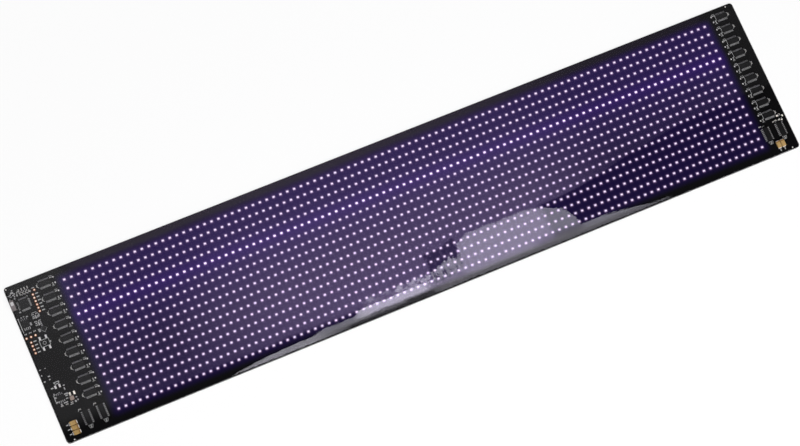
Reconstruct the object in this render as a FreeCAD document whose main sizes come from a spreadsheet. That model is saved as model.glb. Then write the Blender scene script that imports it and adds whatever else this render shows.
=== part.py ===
import FreeCAD, Part
import math
import os
import re

import Sketcher

# A flexible programmable sign: a black flex circuit with a field of LED packages, laid on a black
# backing sheet and sealed under a clear coat. Chips for the columns stand at both ends, and the
# controller, its memory and the power parts at the left end.
# The sign lies on its back: X is its length, Y its width, Z up out of its lit face.
# The origin is the middle of the back face. Lengths are in millimetres.

SIZES = (
    ("led_columns", 96, "LED packages in a row"),
    ("led_rows", 16, "rows of LED packages"),
    ("led_pitch_x", 5.3, "pitch along a row"),
    ("led_pitch_y", 6.6, "pitch from row to row"),
    ("led_side", 2.0, "side of an LED package"),
    ("led_height", 0.8, "height of an LED package"),
    ("left_field_gap", 6.55, "resistors of the left drivers to the field"),
    ("right_field_gap", 7.85, "resistors of the right drivers to the field"),
    ("edge_margin", 10.0, "outer rows to the long edges"),
    ("corner_radius", 2.5, "corners of the sheet"),
    ("backing_thickness", 0.5, "backing sheet"),
    ("board_thickness", 0.25, "flex circuit"),
    ("board_inset", 0.6, "edge of the circuit inside the edge of the sign"),
    ("coat_thickness", 2.45, "clear coat over the circuit"),
    ("rim_slope", 0.9, "sloped upper rim of the coat"),
    ("pad_thickness", 0.06, "metal pads on the circuit"),
    ("side_gap", 0.2, "room beside a sealed part"),
    ("head_gap", 0.1, "room above a sealed part"),
    ("draft_angle", 7.0, "draft of a moulded chip body, degrees"),
    ("lead_thickness", 0.15, "thickness of a chip lead"),
    ("lead_bite", 0.25, "lead inside its chip body"),
    ("chip_standoff", 0.1, "air under a chip body"),
    ("driver_count", 9, "column drivers at each end"),
    ("driver_length", 8.65, "column driver body along X"),
    ("driver_width", 3.9, "column driver body along Y"),
    ("driver_height", 1.45, "column driver above the circuit"),
    ("driver_span", 6.0, "column driver over its leads"),
    ("driver_row", 7.24, "length of a column driver lead row"),
    ("driver_left_gap", 1.25, "single contact pad to the left drivers' capacitors"),
    ("driver_left_drop", 7.3, "first left driver from the top edge"),
    ("driver_left_room", 4.16, "last left driver's parts to the row drivers' parts"),
    ("driver_right_inset", 11.6, "right column drivers from the right edge"),
    ("driver_right_drop", 7.2, "first right driver from the top edge"),
    ("driver_right_room", 2.2, "last right driver's parts to the row drivers' parts"),
    ("passive_length", 1.6, "chip resistor or capacitor, length"),
    ("passive_width", 0.8, "chip resistor or capacitor, width"),
    ("passive_height", 0.45, "chip resistor or capacitor, height"),
    ("outer_gap", 0.875, "driver to its capacitor, away from the field"),
    ("inner_gap", 0.375, "driver to its resistors, towards the field"),
    ("inner_offset", 2.4, "driver centre to its resistors, across"),
    ("scan_length", 9.9, "row driver body, long side"),
    ("scan_width", 3.9, "row driver body, short side"),
    ("scan_height", 1.5, "row driver above the circuit"),
    ("scan_span", 6.0, "row driver over its leads"),
    ("scan_row", 9.31, "length of a row driver lead row"),
    ("scan_count", 2, "row drivers at each end"),
    ("scan_left_inset", 19.7, "first left row driver from the left edge"),
    ("scan_left_rise", 12.8, "left row drivers from the lower edge"),
    ("scan_right_inset", 7.5, "last right row driver from the right edge"),
    ("scan_right_rise", 17.5, "right row drivers from the lower edge"),
    ("scan_step", 11.2, "row driver to row driver"),
    ("scan_part_gap", 1.15, "row driver to its small parts, along"),
    ("scan_part_offset", 3.1, "row driver centre to its upper part, across"),
    ("mcu_side", 7.0, "microcontroller body"),
    ("mcu_height", 1.5, "microcontroller above the circuit"),
    ("mcu_span", 9.0, "microcontroller over its leads"),
    ("mcu_foot", 0.5, "foot of a microcontroller lead"),
    ("mcu_pins", 12, "microcontroller leads on a side"),
    ("mcu_pitch", 0.5, "microcontroller lead pitch"),
    ("mcu_lead", 0.22, "microcontroller lead width"),
    ("mcu_inset_gap", 0.7, "microcontroller's leads from the power inlet"),
    ("mcu_gap", 2.3, "microcontroller's leads below the small parts"),
    ("memory_side", 5.3, "memory chip body"),
    ("memory_height", 1.6, "memory chip above the circuit"),
    ("memory_span", 8.0, "memory chip over its leads"),
    ("memory_inset", 5.2, "memory chip from the left edge"),
    ("memory_gap", 5.1, "memory chip below the microcontroller"),
    ("soic_foot", 0.6, "foot of an eight-lead chip's lead"),
    ("soic_pins", 4, "leads in a row of an eight-lead chip"),
    ("soic_pitch", 1.27, "lead pitch of an eight-lead chip"),
    ("soic_lead", 0.42, "lead width of an eight-lead chip"),
    ("regulator_length", 4.9, "regulator body along X"),
    ("regulator_width", 3.9, "regulator body along Y"),
    ("regulator_height", 1.5, "regulator above the circuit"),
    ("regulator_span", 6.0, "regulator over its leads"),
    ("regulator_inset", 7.8, "regulator from the left edge"),
    ("regulator_gap", 2.4, "regulator above the small parts"),
    ("coil_side", 3.0, "power inductor"),
    ("coil_height", 1.4, "power inductor above the circuit"),
    ("coil_edge", 0.6, "cut corners of the power inductor"),
    ("coil_side_gap", 3.15, "power inductor beside the regulator"),
    ("coil_gap", 0.8, "power inductor above the small parts"),
    ("crystal_side", 3.2, "crystal can"),
    ("crystal_height", 0.8, "crystal can above the circuit"),
    ("crystal_side_gap", 0.2, "crystal beside the small parts under the memory chip"),
    ("crystal_gap", 1.34, "crystal below the small parts beside the memory chip"),
    ("inlet_width", 7.4, "power inlet shell along Y"),
    ("inlet_depth", 4.4, "power inlet shell along X"),
    ("inlet_height", 2.4, "power inlet shell above the circuit"),
    ("inlet_wall", 0.3, "power inlet shell wall"),
    ("inlet_chin", 0.9, "height of the inlet's sloped lower corners"),
    ("inlet_base", 5.4, "width of the inlet's underside"),
    ("inlet_drop", 14.3, "power inlet from the top edge"),
    ("tongue_width", 3.7, "contact tongue in the inlet"),
    ("tongue_height", 0.6, "thickness of the contact tongue"),
    ("tongue_rise", 1.1, "contact tongue above the circuit"),
    ("tongue_setback", 0.8, "contact tongue behind the inlet's mouth"),
    ("tantalum_length", 6.0, "tantalum capacitor"),
    ("tantalum_width", 3.2, "tantalum capacitor"),
    ("tantalum_height", 1.5, "tantalum capacitor above the circuit"),
    ("tantalum_left_count", 3, "tantalum capacitors at the left end"),
    ("tantalum_left_inset", 9.0, "left tantalum capacitors from the left edge"),
    ("tantalum_left_rise", 5.7, "lowest left capacitor from the lower edge"),
    ("tantalum_gap", 0.25, "capacitor to capacitor"),
    ("tantalum_right_count", 2, "tantalum capacitors at the right end"),
    ("tantalum_right_gap", 1.45, "right capacitors beside the outer row driver's part"),
    ("tantalum_right_rise", 7.2, "right capacitors from the lower edge"),
    ("upper_bank_columns", 4, "small parts above the microcontroller, in a row"),
    ("upper_bank_rows", 2, "rows of small parts above the microcontroller"),
    ("upper_bank_pitch_x", 2.15, "small parts above the microcontroller"),
    ("upper_bank_pitch_y", 2.9, "small parts above the microcontroller"),
    ("upper_bank_gap", 0.15, "first of them beside the turned corner parts"),
    ("upper_bank_drop", 5.3, "first of them from the top edge"),
    ("middle_bank_columns", 2, "small parts beside the memory chip, in a row"),
    ("middle_bank_rows", 4, "rows of small parts beside the memory chip"),
    ("middle_bank_pitch_x", 2.9, "small parts beside the memory chip"),
    ("middle_bank_pitch_y", 2.7, "small parts beside the memory chip"),
    ("middle_bank_side_gap", 3.35, "first of them beside the memory chip"),
    ("middle_bank_gap", 4.3, "first of them below the microcontroller"),
    ("lower_bank_columns", 4, "small parts under the memory chip"),
    ("lower_bank_pitch", 3.3, "small parts under the memory chip"),
    ("lower_bank_inset", 2.4, "first of them from the left edge"),
    ("lower_bank_gap", 2.5, "small parts below the memory chip"),
    ("corner_parts_inset", 3.1, "turned corner parts from the left edge"),
    ("corner_parts_drop", 6.1, "turned corner parts from the top edge"),
    ("corner_parts_step", 2.5, "turned part to turned part"),
    ("power_bank_columns", 3, "small parts under the regulator"),
    ("power_bank_pitch", 3.6, "small parts under the regulator"),
    ("power_bank_inset", 6.6, "first of them from the left edge"),
    ("power_bank_gap", 11.8, "small parts above the tantalum capacitors"),
    ("diode_length", 1.7, "protection diode along X"),
    ("diode_width", 1.2, "protection diode along Y"),
    ("diode_height", 0.8, "protection diode above the circuit"),
    ("diode_count", 2, "protection diodes"),
    ("diode_inset", 4.6, "protection diodes from the right edge"),
    ("diode_gap", 1.35, "lower protection diode above the row driver"),
    ("diode_step", 3.1, "diode to diode"),
    ("contact_diameter", 1.7, "gilt contact pad"),
    ("port_count", 6, "contact pads beside the microcontroller"),
    ("port_pitch", 2.54, "contact pad to contact pad"),
    ("port_gap", 2.75, "that row beside the microcontroller"),
    ("port_drop", 11.7, "its first pad from the top edge"),
    ("lone_step", 2.1, "the single contact pad beside that row"),
    ("lone_drop", 8.9, "the single contact pad from the top edge"),
    ("trio_count", 3, "contact pads under the memory chip"),
    ("trio_pitch", 3.3, "those pads"),
    ("trio_inset", 1.9, "the first of them from the left edge"),
    ("trio_gap", 1.7, "those pads below the small parts"),
    ("service_count", 4, "contact pads beside the switch land"),
    ("service_pitch", 2.7, "those pads"),
    ("service_inset", 3.8, "those pads from the left edge"),
    ("service_gap", 2.05, "the first of them below the pads above"),
    ("switch_pad_x", 4.55, "unfitted switch land, pad to pad along X"),
    ("switch_pad_y", 8.0, "unfitted switch land, pad to pad along Y"),
    ("switch_inset", 12.5, "middle of the switch land from the left edge"),
    ("switch_gap", 2.04, "switch land below the crystal"),
    ("tinned_length", 2.4, "large tinned pad along Y"),
    ("tinned_width", 1.4, "large tinned pad along X"),
    ("supply_pitch", 3.1, "supply pads, pad to pad"),
    ("supply_inset", 7.3, "first supply pad from the left edge"),
    ("supply_gap", 4.1, "supply pads above the regulator"),
    ("output_inset", 14.7, "first output pad from the left edge"),
    ("output_gap", 0.5, "output pads above the power inductor"),
    ("mark_diameter", 1.0, "alignment mark"),
    ("mark_gap", 0.5, "alignment marks from the near edge of the circuit"),
    ("mark_far", 5.6, "alignment marks from their far edge"),
)

CORNER_TURNS = (45, -45, 45)
HALF_TURNED = "((passive_length + passive_width) / 2 ^ 0.5 / 2)"
HALF_CRYSTAL = "(crystal_side / 2 ^ 0.5)"
OUTER_REACH = "(driver_length / 2 + outer_gap + passive_width / 2)"
INNER_REACH = "(driver_length / 2 + inner_gap + passive_length / 2)"
SCAN_REACH = "(scan_length / 2 + scan_part_gap + passive_length / 2)"

# Distances from the left edge, each from what stands to its left.
CORNER_RUN = f"{len(CORNER_TURNS) - 1} * corner_parts_step"
UPPER_BANK_INSET = (
    f"(corner_parts_inset + {CORNER_RUN} + {HALF_TURNED} + upper_bank_gap + passive_width / 2)"
)
MCU_INSET = "(inlet_depth + mcu_inset_gap + mcu_span / 2)"
PORT_INSET = f"({MCU_INSET} + mcu_span / 2 + port_gap + contact_diameter / 2)"
LONE_INSET = f"({PORT_INSET} + lone_step)"
MIDDLE_BANK_INSET = "(memory_inset + memory_side / 2 + middle_bank_side_gap + passive_length / 2)"
LOWER_BANK_END = "(lower_bank_inset + (lower_bank_columns - 1) * lower_bank_pitch)"
CRYSTAL_INSET = f"({LOWER_BANK_END} + passive_length / 2 + crystal_side_gap + {HALF_CRYSTAL})"
COIL_INSET = "(regulator_inset + regulator_length / 2 + coil_side_gap + coil_side / 2)"
DRIVER_LEFT_INSET = (
    f"({LONE_INSET} + contact_diameter / 2 + driver_left_gap + passive_width / 2 + {OUTER_REACH})"
)
LEFT_MARGIN = (
    f"({DRIVER_LEFT_INSET} + {INNER_REACH} + passive_length / 2 + left_field_gap + led_side / 2)"
)
RIGHT_MARGIN = (
    f"(driver_right_inset + {INNER_REACH} + passive_length / 2 + right_field_gap + led_side / 2)"
)

# The sheet follows from the field and its margins.
FIELD_LENGTH = "(led_columns - 1) * led_pitch_x"
FIELD_WIDTH = "(led_rows - 1) * led_pitch_y"
LENGTH = f"({FIELD_LENGTH} + {LEFT_MARGIN} + {RIGHT_MARGIN})"
WIDTH = f"({FIELD_WIDTH} + 2 * edge_margin)"
BOARD_TOP = "(backing_thickness + board_thickness)"
MARK_NEAR = "(board_inset + mark_gap + mark_diameter / 2)"

# Distances from the top edge, each from what lies above.
UPPER_BANK_END = "(upper_bank_drop + (upper_bank_rows - 1) * upper_bank_pitch_y)"
MCU_DROP = f"({UPPER_BANK_END} + passive_length / 2 + mcu_gap + mcu_span / 2)"
MEMORY_DROP = f"({MCU_DROP} + mcu_span / 2 + memory_gap + memory_span / 2)"
LOWER_BANK_DROP = f"({MEMORY_DROP} + memory_span / 2 + lower_bank_gap + passive_width / 2)"
TRIO_DROP = f"({LOWER_BANK_DROP} + passive_width / 2 + trio_gap + contact_diameter / 2)"
SERVICE_DROP = f"({TRIO_DROP} + contact_diameter + service_gap)"
MIDDLE_BANK_DROP = f"({MCU_DROP} + mcu_span / 2 + middle_bank_gap + passive_width / 2)"
MIDDLE_BANK_END = f"({MIDDLE_BANK_DROP} + (middle_bank_rows - 1) * middle_bank_pitch_y)"
CRYSTAL_DROP = f"({MIDDLE_BANK_END} + passive_width / 2 + crystal_gap + {HALF_CRYSTAL})"
HALF_SWITCH = "(switch_pad_y + tinned_length) / 2"
SWITCH_DROP = f"({CRYSTAL_DROP} + {HALF_CRYSTAL} + switch_gap + {HALF_SWITCH})"

# Distances from the lower edge, each from what lies below.
TANTALUM_PITCH = "(tantalum_width + tantalum_gap)"
TANTALUM_END = f"(tantalum_left_rise + (tantalum_left_count - 1) * {TANTALUM_PITCH})"
POWER_BANK_RISE = f"({TANTALUM_END} + (tantalum_width + passive_width) / 2 + power_bank_gap)"
REGULATOR_RISE = f"({POWER_BANK_RISE} + passive_width / 2 + regulator_gap + regulator_span / 2)"
SUPPLY_RISE = f"({REGULATOR_RISE} + (regulator_span + tinned_length) / 2 + supply_gap)"
COIL_RISE = f"({POWER_BANK_RISE} + (passive_width + coil_side) / 2 + coil_gap)"
OUTPUT_RISE = f"({COIL_RISE} + (coil_side + tinned_length) / 2 + output_gap)"
DIODE_RISE = "(scan_right_rise + (scan_length + diode_width) / 2 + diode_gap)"

DRIVER_INSETS = {"left": DRIVER_LEFT_INSET, "right": "driver_right_inset"}
DISC_SIDES = 6
CAN_SIDES = 4
CIRCUIT_CORNERS = 8
VERTICAL = FreeCAD.Vector(0, 0, 1)
EPSILON = 1e-3

doc = FreeCAD.newDocument("led_sign")
sheet = doc.addObject("Spreadsheet::Sheet", "Sizes")
for line, (alias, number, meaning) in enumerate(SIZES, start=1):
    sheet.set(f"A{line}", meaning)
    sheet.set(f"B{line}", str(number))
    sheet.setAlias(f"B{line}", alias)
doc.recompute()

nodes = []


def bind(item, prop, formula):
    """Tie a property to a formula written with the names of the sheet."""
    item.setExpression(prop, re.sub(r"\b[a-z]\w*\b(?!\()", r"Sizes.\g<0>", formula))


def place(item, x, y, z=BOARD_TOP, turn=0):
    """Put an object at three formulas, turned about the vertical."""
    item.Placement = FreeCAD.Placement(FreeCAD.Vector(), FreeCAD.Rotation(VERTICAL, turn))
    for axis, formula in zip("xyz", (x, y, z)):
        bind(item, f"Placement.Base.{axis}", formula)


def node(item, name):
    """Keep an object as a sub-part under its own name."""
    item.Label = name
    nodes.append(item)
    return item


def from_left(distance):
    return f"{distance} - {LENGTH} / 2"


def from_right(distance):
    return f"{LENGTH} / 2 - ({distance})"


def from_top(distance):
    return f"{WIDTH} / 2 - ({distance})"


def from_foot(distance):
    return f"{distance} - {WIDTH} / 2"


def from_end(side, distance):
    return from_left(distance) if side == "left" else from_right(distance)


def driver_run(side):
    """Give the distance from the first to the last column driver of an end."""
    below = f"scan_{side}_rise + {SCAN_REACH} + passive_length + driver_{side}_room"
    return f"({WIDTH} - driver_{side}_drop - ({below} + inner_offset))"


def driver_drop(side, k):
    """Give the distance of a column driver from the top edge."""
    return f"driver_{side}_drop + {k} * {driver_run(side)} / (driver_count - 1)"


# Sketches and features of a body


def origin_item(body, role):
    """Give one of a body's own origin planes or axes."""
    return next(item for item in body.Origin.OriginFeatures if item.Role == role)


def new_sketch(body, name, role="XY_Plane", shift=()):
    """Start a sketch on an origin plane, moved by formulas for x, y and z of that plane."""
    sketch = body.newObject("Sketcher::SketchObject", name)
    sketch.AttachmentSupport = (origin_item(body, role), "")
    sketch.MapMode = "FlatFace"
    for axis, formula in zip("xyz", shift):
        bind(sketch, f"AttachmentOffset.Base.{axis}", formula)
    return sketch


def close_loop(sketch, corners):
    """Draw a closed loop of lines, as a start for the constraints, and give its first line."""
    first = sketch.GeometryCount
    count = len(corners)
    for k in range(count):
        sketch.addGeometry(Part.LineSegment(corners[k], corners[(k + 1) % count]))
    for k in range(count):
        following = first + (k + 1) % count
        sketch.addConstraint(Sketcher.Constraint("Coincident", first + k, 2, following, 1))
    return first


def ring_beside(count, side=1):
    """Give corners of a ring that lies to one side of the sketch's upright axis."""
    steps = [2 * math.pi * k / count for k in range(count)]
    return [
        FreeCAD.Vector(side * (count - math.cos(step)), count + math.sin(step), 0)
        for step in steps
    ]


def ring_across(count):
    """Give corners of a ring about the upright axis, those on the right first, from the top."""
    steps = [(2 * k + 1) * math.pi / count for k in range(count)]
    return [FreeCAD.Vector(math.sin(step), count + math.cos(step), 0) for step in steps]


def pin_point(sketch, line, x, y):
    """Fix the start of a line at two formulas, both of them zero or more."""
    for kind, formula, axis in (("DistanceX", x, -2), ("DistanceY", y, -1)):
        if formula == "0":
            sketch.addConstraint(Sketcher.Constraint("PointOnObject", line, 1, axis))
            continue
        start = sketch.Geometry[line].StartPoint
        now = start.x if kind == "DistanceX" else start.y
        made = sketch.addConstraint(Sketcher.Constraint(kind, -1, 1, line, 1, now))
        name = f"{kind}{line}"
        sketch.renameConstraint(made, name)
        bind(sketch, f"Constraints.{name}", formula)


def outline(sketch, points):
    """Draw a closed outline through points given as formulas."""
    first = close_loop(sketch, ring_beside(len(points)))
    for k, (x, y) in enumerate(points):
        pin_point(sketch, first + k, x, y)
    return first


def mirror_outline(sketch, first, count):
    """Draw the same outline again on the other side of the sketch's upright axis."""
    twin = close_loop(sketch, ring_beside(count, side=-1))
    for k in range(count):
        pair = Sketcher.Constraint("Symmetric", first + k, 1, twin + k, 1, -2)
        sketch.addConstraint(pair)


def rectangle(sketch, length, width):
    """Draw a rectangle about the middle of the sketch."""
    first = close_loop(sketch, ring_beside(4))
    for k in (0, 2):
        sketch.addConstraint(Sketcher.Constraint("Vertical", first + k))
        sketch.addConstraint(Sketcher.Constraint("Horizontal", first + k + 1))
    middle = Sketcher.Constraint("Symmetric", first, 1, first + 2, 1, -1, 1)
    sketch.addConstraint(middle)
    for kind, line, formula in (("DistanceY", 0, width), ("DistanceX", 1, length)):
        edge = sketch.Geometry[first + line]
        span = edge.EndPoint - edge.StartPoint
        now = span.y if kind == "DistanceY" else span.x
        made = sketch.addConstraint(
            Sketcher.Constraint(kind, first + line, 1, first + line, 2, now)
        )
        sketch.renameConstraint(made, kind)
        bind(sketch, f"Constraints.{kind}", formula)


def pad(body, sketch, length, tapered=False, both_ways=False):
    """Raise a sketch into a solid."""
    feature = body.newObject("PartDesign::Pad", f"{sketch.Name}_pad")
    feature.Profile = sketch
    bind(feature, "Length", length)
    feature.Midplane = both_ways
    if tapered:
        bind(feature, "TaperAngle", "-draft_angle")
    return feature


def hollow(body, sketch, depth):
    """Cut a sketch upwards into the solid above it."""
    feature = body.newObject("PartDesign::Pocket", f"{sketch.Name}_pocket")
    feature.Profile = sketch
    bind(feature, "Length", depth)
    feature.Reversed = True
    return feature


def repeat(body, feature, role, length, count, backwards=False):
    """Repeat a feature along an origin axis."""
    pattern = body.newObject("PartDesign::LinearPattern", f"{feature.Name}_row")
    pattern.Originals = [feature]
    pattern.Direction = (origin_item(body, role), [""])
    pattern.Reversed = backwards
    bind(pattern, "Length", length)
    bind(pattern, "Occurrences", count)
    body.Tip = pattern
    return pattern


def dress_edges(body, base, kind, prop, size, wanted):
    """Round or cut the edges of a feature that a test picks."""
    doc.recompute()
    picked = [f"Edge{k}" for k, edge in enumerate(base.Shape.Edges, start=1) if wanted(edge)]
    feature = body.newObject(f"PartDesign::{kind}", f"{base.Name}_{kind}")
    feature.Base = (base, picked)
    bind(feature, prop, size)
    return feature


def is_upright(edge):
    box = edge.BoundBox
    return box.ZLength > box.XLength + box.YLength


def plate(body, name, start, thickness):
    """Make a plate with the sign's outline and round corners."""
    sketch = new_sketch(body, f"{name}_outline", shift=("0", "0", start))
    rectangle(sketch, LENGTH, WIDTH)
    block = pad(body, sketch, thickness)
    return dress_edges(body, block, "Fillet", "Radius", "corner_radius", is_upright)


def circuit_outline(sketch, inset):
    """Draw the sign's outline moved inwards, each round corner cut off at its middle."""
    count = CIRCUIT_CORNERS
    steps = [(2 * k + 1) * math.pi / count for k in range(count)]
    close_loop(sketch, [FreeCAD.Vector(math.cos(step), math.sin(step), 0) for step in steps])
    far_x, far_y = f"{LENGTH} / 2 - {inset}", f"{WIDTH} / 2 - {inset}"
    cut = f"(2 - 2 ^ 0.5) * (corner_radius - {inset})"
    pin_point(sketch, 0, far_x, f"{far_y} - {cut}")
    pin_point(sketch, 1, f"{far_x} - {cut}", far_y)
    for line in (0, 1):
        for twin, mirror in ((3 - line, (-2,)), (7 - line, (-1,)), (4 + line, (-1, 1))):
            pair = Sketcher.Constraint("Symmetric", line, 1, twin, 1, *mirror)
            sketch.addConstraint(pair)


# The three layers


def back_sheet():
    """Soft black backing, which the sign rests on."""
    body = doc.addObject("PartDesign::Body", "Backing")
    plate(body, "Backing", "0", "backing_thickness")
    return node(body, "back_sheet")


def flex_circuit():
    """Thin black circuit that carries every part."""
    body = doc.addObject("PartDesign::Body", "Circuit")
    sketch = new_sketch(body, "Circuit_outline", shift=("0", "0", "backing_thickness"))
    circuit_outline(sketch, "board_inset")
    pad(body, sketch, "board_thickness")
    return node(body, "flex_circuit")


def bay(body, name, x, y, length, width, height):
    """Leave room in the coat for what stands on the circuit."""
    sketch = new_sketch(body, name, shift=(x, y, BOARD_TOP))
    rectangle(sketch, f"{length} + 2 * side_gap", f"{width} + 2 * side_gap")
    return hollow(body, sketch, f"{height} + head_gap")


def coat_shell(body):
    """Raise the coat and slope its upper rim."""
    top = plate(body, "Coat", "backing_thickness", "board_thickness + coat_thickness")
    doc.recompute()
    level = top.Shape.BoundBox.ZMax
    return dress_edges(
        body, top, "Chamfer", "Size", "rim_slope", lambda edge: edge.BoundBox.ZMin > level - EPSILON
    )


def coat_floor(body):
    """Take the circuit and its pads into the underside of the coat."""
    sketch = new_sketch(body, "Coat_floor", shift=("0", "0", "backing_thickness"))
    circuit_outline(sketch, "(board_inset - side_gap)")
    hollow(body, sketch, "board_thickness + pad_thickness")


def led_channels(body):
    """Leave a channel for each row of LED packages."""
    middle = f"({LEFT_MARGIN} - {RIGHT_MARGIN}) / 2"
    length = f"{FIELD_LENGTH} + led_side"
    first = bay(body, "Channel", middle, f"{FIELD_WIDTH} / 2", length, "led_side", "led_height")
    repeat(body, first, "Y_Axis", FIELD_WIDTH, "led_rows", backwards=True)


def end_bays(body):
    """Leave room for the drivers and their small parts at both ends."""
    outer, inner = f"({OUTER_REACH} + passive_width / 2)", f"({INNER_REACH} + passive_length / 2)"
    across = "max(driver_span / 2; inner_offset + passive_length / 2)"
    for side in ("left", "right"):
        x = from_end(side, f"{DRIVER_INSETS[side]} + ({inner} - {outer}) / 2")
        y = from_top(f"driver_{side}_drop + {driver_run(side)} / 2")
        tall = f"{driver_run(side)} + 2 * {across}"
        bay(body, f"{side}_bay", x, y, f"{outer} + {inner}", tall, "driver_height")
    for side, k, x, y in scan_places():
        length = f"2 * {SCAN_REACH} + passive_length"
        width = "2 * max(scan_span / 2; scan_part_offset + passive_length / 2)"
        bay(body, f"Scan_bay_{side}_{k}", x, y, width, length, "scan_height")


def control_bays(body):
    """Leave room for the parts of the left end."""
    for name, x, y, length, width, height in control_rooms():
        bay(body, name, x, y, length, width, height)


def clear_coat():
    """Clear coat over the whole circuit, cut away at the power inlet."""
    body = doc.addObject("PartDesign::Body", "Coat")
    coat_shell(body)
    coat_floor(body)
    led_channels(body)
    end_bays(body)
    control_bays(body)
    x = from_left("inlet_depth / 2")
    shift = (x, from_top("inlet_drop"), "backing_thickness")
    notch = new_sketch(body, "Inlet_notch", shift=shift)
    rectangle(notch, "inlet_depth + 2 * side_gap", "inlet_width + 2 * side_gap")
    hollow(body, notch, "board_thickness + coat_thickness + head_gap")
    return node(body, "clear_coat")


# The field of LED packages


def led_row(row):
    """One row of LED packages, each a low four-sided dome."""
    body = doc.addObject("PartDesign::Body", f"Led_row_{row}")
    dome = body.newObject("PartDesign::AdditiveWedge", f"Led_{row}")
    for side in ("Xmin", "Zmin"):
        bind(dome, side, "-led_side / 2")
    for side in ("Xmax", "Zmax"):
        bind(dome, side, "led_side / 2")
    for side in ("X2min", "X2max", "Z2min", "Z2max", "Ymin"):
        setattr(dome, side, 0)
    bind(dome, "Ymax", "led_height")
    repeat(body, dome, "X_Axis", FIELD_LENGTH, "led_columns")
    upright = FreeCAD.Rotation(FreeCAD.Vector(1, 0, 0), 90)
    body.Placement = FreeCAD.Placement(FreeCAD.Vector(), upright)
    bind(body, "Placement.Base.x", from_left(LEFT_MARGIN))
    bind(body, "Placement.Base.y", f"{FIELD_WIDTH} / 2 - {row - 1} * led_pitch_y")
    bind(body, "Placement.Base.z", BOARD_TOP)
    return node(body, f"led_row_{row:02d}")


# Chips


def chip_body(body, length, width, height):
    """Moulded chip body: upright up to the parting line, with draft above it."""
    half = f"({height} - chip_standoff) / 2"
    for name, start, tapered in (("lower", "chip_standoff", False), ("upper", half, True)):
        level = start if not tapered else f"({height} + chip_standoff) / 2"
        sketch = new_sketch(body, f"{body.Name}_{name}", shift=("0", "0", level))
        rectangle(sketch, length, width)
        pad(body, sketch, half, tapered=tapered)


def lead_outline(sketch, across, span, foot, height):
    """Side of a bent lead: out of the body, down, and flat on its pad, on both sides."""
    root = f"{across} / 2 - lead_bite"
    exit_height = f"({height} + chip_standoff) / 2"
    points = (
        (root, exit_height),
        (f"{span} / 2 - {foot}", "lead_thickness"),
        (f"{span} / 2", "lead_thickness"),
        (f"{span} / 2", "0"),
        (root, f"{exit_height} - 2 * lead_thickness"),
    )
    first = outline(sketch, points)
    mirror_outline(sketch, first, len(points))


def strip_outline(sketch, across, span, height):
    """Side of a whole row of leads drawn as one sloped strip, on both sides."""
    root = f"{across} / 2 - lead_bite"
    points = (
        (root, f"({height} + chip_standoff) / 2"),
        (f"{span} / 2", "0"),
        (root, "0"),
    )
    first = outline(sketch, points)
    mirror_outline(sketch, first, len(points))


def lead_row(body, role, across, span, foot, height, pins, pitch, width):
    """Two rows of bent leads on opposite sides of a chip."""
    along_x = role == "YZ_Plane"
    start = f"({pins} - 1) * {pitch} / 2"
    start = f"-{start}" if along_x else start
    sketch = new_sketch(body, f"{body.Name}_{role}", role, shift=("0", "0", start))
    lead_outline(sketch, across, span, foot, height)
    lead = pad(body, sketch, width, both_ways=True)
    axis = "X_Axis" if along_x else "Y_Axis"
    repeat(body, lead, axis, f"({pins} - 1) * {pitch}", pins)


def strip_chip(body, length, width, height, span, row):
    """Chip with each of its two lead rows drawn as one sloped strip."""
    chip_body(body, length, width, height)
    strip = new_sketch(body, f"{body.Name}_leads", "YZ_Plane")
    strip_outline(strip, width, span, height)
    pad(body, strip, row, both_ways=True)


def column_driver(side, number):
    """Column driver chip, which feeds the LED columns of its half."""
    body = doc.addObject("PartDesign::Body", f"Column_{side}_{number}")
    strip_chip(
        body, "driver_length", "driver_width", "driver_height", "driver_span", "driver_row"
    )
    x, y = from_end(side, DRIVER_INSETS[side]), from_top(driver_drop(side, number - 1))
    place(body, x, y)
    return node(body, f"column_driver_{side}_{number}")


def scan_places():
    """Give end, number and the place of each row driver."""
    for k in range(int(sheet.get("scan_count"))):
        for side in ("left", "right"):
            x = from_end(side, f"scan_{side}_inset + {k} * scan_step")
            yield side, k + 1, x, from_foot(f"scan_{side}_rise")


def row_driver(side, number, x, y):
    """Row driver chip, standing across the sign."""
    body = doc.addObject("PartDesign::Body", f"Row_{side}_{number}")
    strip_chip(body, "scan_length", "scan_width", "scan_height", "scan_span", "scan_row")
    place(body, x, y, turn=90)
    return node(body, f"row_driver_{side}_{number}")


def microcontroller():
    """Square controller chip with leads on its four sides."""
    body = doc.addObject("PartDesign::Body", "Controller")
    chip_body(body, "mcu_side", "mcu_side", "mcu_height")
    for role in ("YZ_Plane", "XZ_Plane"):
        lead_row(
            body,
            role,
            "mcu_side",
            "mcu_span",
            "mcu_foot",
            "mcu_height",
            "mcu_pins",
            "mcu_pitch",
            "mcu_lead",
        )
    place(body, from_left(MCU_INSET), from_top(MCU_DROP))
    return node(body, "microcontroller")


def eight_lead_chip(name, length, width, height, span, x, y):
    """Small chip with four leads on each long side."""
    body = doc.addObject("PartDesign::Body", name.title())
    chip_body(body, length, width, height)
    lead_row(
        body, "YZ_Plane", width, span, "soic_foot", height, "soic_pins", "soic_pitch", "soic_lead"
    )
    place(body, x, y)
    return node(body, name)


def memory_chip():
    """Memory for the pictures that the sign shows."""
    x, y = from_left("memory_inset"), from_top(MEMORY_DROP)
    side = "memory_side"
    return eight_lead_chip("memory_chip", side, side, "memory_height", "memory_span", x, y)


def power_regulator():
    """Regulator for the logic supply."""
    x, y = from_left("regulator_inset"), from_foot(REGULATOR_RISE)
    sides = ("regulator_length", "regulator_width", "regulator_height", "regulator_span")
    return eight_lead_chip("power_regulator", *sides, x, y)


# Power inlet


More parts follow.
